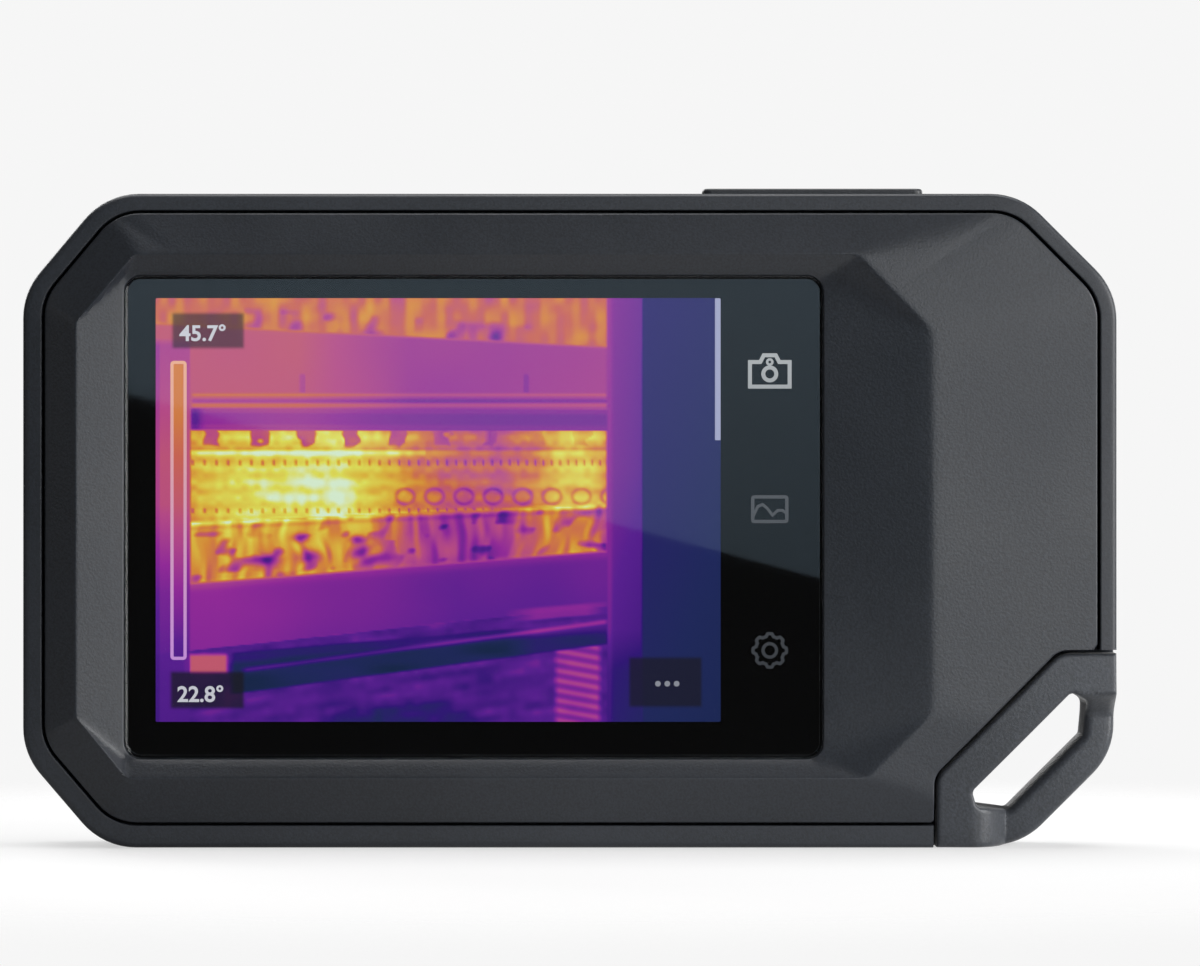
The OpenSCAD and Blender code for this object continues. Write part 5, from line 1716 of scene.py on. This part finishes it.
def dress_inside(nodes: dict[str, bpy.types.Object], materials: Materials) -> None:
    """Gives every carried-over node inside the case its own finish.

    Args:
        nodes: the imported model's nodes by name.
        materials: the finishes.
    """
    wears = {
        materials.silicone: ("case_seal", "display_gasket", "battery_pad"),
        materials.chip: ("board_chips", "lcd_panel", "camera_module", "shutter_motor"),
        materials.guide: ("icon_light_guide", "save_plunger", "power_plunger"),
        materials.board: ("icon_board", "main_board", "core_board", "button_board"),
        materials.chassis: ("mid_frame", "core_housing"),
        materials.pad: ("thermal_pad",),
        materials.plated: ("shield_can", "usb_receptacle"),
        materials.film: ("display_flex", "camera_flex", "wifi_antenna"),
        materials.foil: ("battery",),
        materials.jacket: ("battery_lead", "antenna_cable"),
        materials.anodised: ("lens_barrel",),
        materials.gold: ("sensor_package",),
        materials.blackened: ("shutter_flag",),
        materials.phosphor: ("torch_led",),
        materials.switch: ("save_switch", "power_switch"),
        materials.zinc: ("board_screws", "frame_screws"),
    }
    for material, names in wears.items():
        for name in names:
            mesh = nodes[name].data
            mesh.materials.clear()
            mesh.materials.append(material)
            log.info("%s wears %s", name, material.name)


# ---------------------------------------------------------------------------------------------
# The studio


@dataclass
class Studio:
    """White sweep, soft lights and the camera."""

    eye: tuple = (0.0038, -0.8, 0.0460)
    lens_mm: float = 188.2
    white: float = 0.922
    dark: float = 0.035
    floor_r: float = 0.2
    floor_sides: int = 96
    floor_glow: float = 0.54

    def build(self) -> None:
        """Sets up the studio."""
        scene = bpy.context.scene
        scene.view_settings.view_transform = "Standard"
        self.camera()
        self.world()
        self.floor()
        self.reflection_card()
        self.softbox("key", (0.31, -0.64, 0.14), (0.03, 0.0, 0.04), (0.36, 0.42), 3.4)
        self.softbox("right_rim", (1.0, -0.35, 0.3), (0.0, 0.0, 0.04), (0.6, 0.7), 10.0)
        self.softbox("front_top", (0.25, -0.8, 0.72), (0.0, 0.0, 0.04), (0.7, 0.3), 0.9)
        self.softbox("left_fill", (-1.0, -0.6, 0.3), (0.0, 0.0, 0.04), (0.6, 0.6), 0.55)
        self.softbox("overhead", (0.0, 0.15, 0.95), (0.0, 0.0, 0.0), (0.9, 0.6), 5.0)
        self.softbox("lens_side", (-0.45, 0.75, 0.45), (0.0, 0.0, 0.04), (0.5, 0.5), 7.0)
        self.softbox("lens_fill", (0.6, 0.7, 0.2), (0.0, 0.0, 0.04), (0.5, 0.5), 3.0)

    def camera(self) -> None:
        """A level camera square to the display."""
        data = bpy.data.cameras.new("camera")
        data.lens, data.sensor_width, data.clip_start = self.lens_mm, 36.0, 0.01
        camera = bpy.data.objects.new("camera", data)
        camera.location, camera.rotation_euler = self.eye, (math.pi / 2, 0, 0)
        bpy.context.scene.collection.objects.link(camera)
        bpy.context.scene.camera = camera

    def world(self) -> None:
        """White behind the object, and nearly dark to everything that isn't the camera."""
        world = bpy.data.worlds.new("studio")
        bpy.context.scene.world = world
        world.use_nodes = True
        tree = world.node_tree
        tree.nodes.clear()
        seen = add_node(tree, "ShaderNodeLightPath").outputs["Is Camera Ray"]
        dark = add_node(tree, "ShaderNodeBackground", {"Color": (1, 1, 1, 1), "Strength": self.dark})
        pale = add_node(tree, "ShaderNodeBackground", {"Color": (1, 1, 1, 1), "Strength": self.white})
        mixed = add_node(tree, "ShaderNodeMixShader", {0: seen, 1: dark.outputs[0], 2: pale.outputs[0]})
        add_node(tree, "ShaderNodeOutputWorld", {"Surface": mixed.outputs[0]})

    def floor(self) -> None:
        """A white floor that fades away round the object."""
        ring = ring_of(self.floor_sides) * self.floor_r / MM
        mesh = bpy.data.meshes.new("floor")
        mesh.from_pydata((raised(ring, -0.02, Axis.Z) * MM).tolist(), [], [list(range(self.floor_sides))])
        floor = as_object(mesh, "floor")
        material, tree = blank_material("white_sweep")
        place = add_node(tree, "ShaderNodeTexCoord").outputs["Object"]
        reach = add_node(tree, "ShaderNodeVectorMath", {0: place}, operation="LENGTH").outputs["Value"]
        share = add_node(tree, "ShaderNodeMapRange",
                         {"Value": reach, "From Min": 0.45 * self.floor_r, "From Max": 0.97 * self.floor_r},
                         interpolation_type="SMOOTHSTEP").outputs[0]
        seen = add_node(tree, "ShaderNodeLightPath").outputs["Is Camera Ray"]
        across = add_node(tree, "ShaderNodeSeparateXYZ", {0: place}).outputs["X"]
        lift = add_node(tree, "ShaderNodeMapRange", {"Value": across, "From Min": -0.08, "From Max": 0.0,
                                                     "To Min": 0.0, "To Max": 0.38}).outputs[0]
        glow = add_node(tree, "ShaderNodeMapRange",
                        {"Value": seen, "To Min": lift, "To Max": self.floor_glow})
        shader = add_node(tree, "ShaderNodeBsdfPrincipled",
                          {"Base Color": (0.36, 0.36, 0.36, 1), "Roughness": 0.9, "Specular IOR Level": 0.0,
                           "Emission Color": (1, 1, 1, 1), "Emission Strength": glow.outputs[0]})
        clear = add_node(tree, "ShaderNodeBsdfTransparent")
        below = add_node(tree, "ShaderNodeNewGeometry").outputs["Backfacing"]
        gone = add_node(tree, "ShaderNodeMath", {0: share, 1: below}, operation="MAXIMUM").outputs[0]
        mixed = add_node(tree, "ShaderNodeMixShader", {0: gone, 1: shader.outputs[0], 2: clear.outputs[0]})
        add_node(tree, "ShaderNodeOutputMaterial", {"Surface": mixed.outputs[0]})
        floor.data.materials.append(material)

    def reflection_card(self) -> None:
        """A pale card behind the camera that the upper part of the glass mirrors."""
        y = -2000.0
        corners = np.array([[-700, 600], [-700, 222.4], [-204.5, 85.4], [100.0, 4.1], [700.0, -156.0],
                            [700, 600.0]])
        shell = Shell().add(raised(corners, y), [list(range(6))])
        card = as_object(shell.mesh("card"), "card")
        material, tree = blank_material("pale_card")
        place = add_node(tree, "ShaderNodeTexCoord").outputs["Object"]
        up = add_node(tree, "ShaderNodeSeparateXYZ", {0: place}).outputs["Z"]
        level = add_node(tree, "ShaderNodeMapRange",
                         {"Value": up, "From Min": 0.0, "From Max": 0.13, "To Min": 0.42, "To Max": 0.66})
        glow = add_node(tree, "ShaderNodeEmission",
                        {"Color": linear("#cfeaff"), "Strength": level.outputs[0]})
        add_node(tree, "ShaderNodeOutputMaterial", {"Surface": glow.outputs[0]})
        card.data.materials.append(material)
        card.visible_camera = card.visible_diffuse = card.visible_shadow = False

    def softbox(self, name: str, at: tuple, to: tuple, size: tuple, radiance: float) -> None:
        """A rectangular light turned towards a point.

        Args:
            name: of the light.
            at: where it stands, in metres.
            to: the point that it faces.
            size: width and height, in metres.
            radiance: how bright its face is; its power is that times pi times its area.
        """
        data = bpy.data.lights.new(name, "AREA")
        data.shape, data.size, data.size_y = "RECTANGLE", size[0], size[1]
        data.energy = radiance * math.pi * size[0] * size[1]
        light = bpy.data.objects.new(name, data)
        light.location = at
        away = np.array(at) - np.array(to)
        flat = math.hypot(away[0], away[1])
        light.rotation_euler = (math.atan2(flat, away[2]), 0, math.atan2(away[0], -away[1]))
        light.visible_camera = False
        bpy.context.scene.collection.objects.link(light)


def main() -> None:
    """Loads the frame, builds every piece round it and sets up the studio."""
    logging.basicConfig(level=logging.INFO, format="%(name)s: %(message)s", force=True)
    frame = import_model()
    materials, shape = Materials(), CaseShape()
    RearCover(shape).build(materials)
    FrontCover(shape).build(materials)
    LanyardLoop(shape).build(materials)
    Display(shape).build(materials)
    TopButtons(shape).build(materials)
    PortFlap().build(materials)
    Optics(shape).build(materials)
    Fastenings(shape).build(materials)
    dress_inside(frame["nodes"], materials)
    Studio().build()


if __name__ == "__main__":
    main()
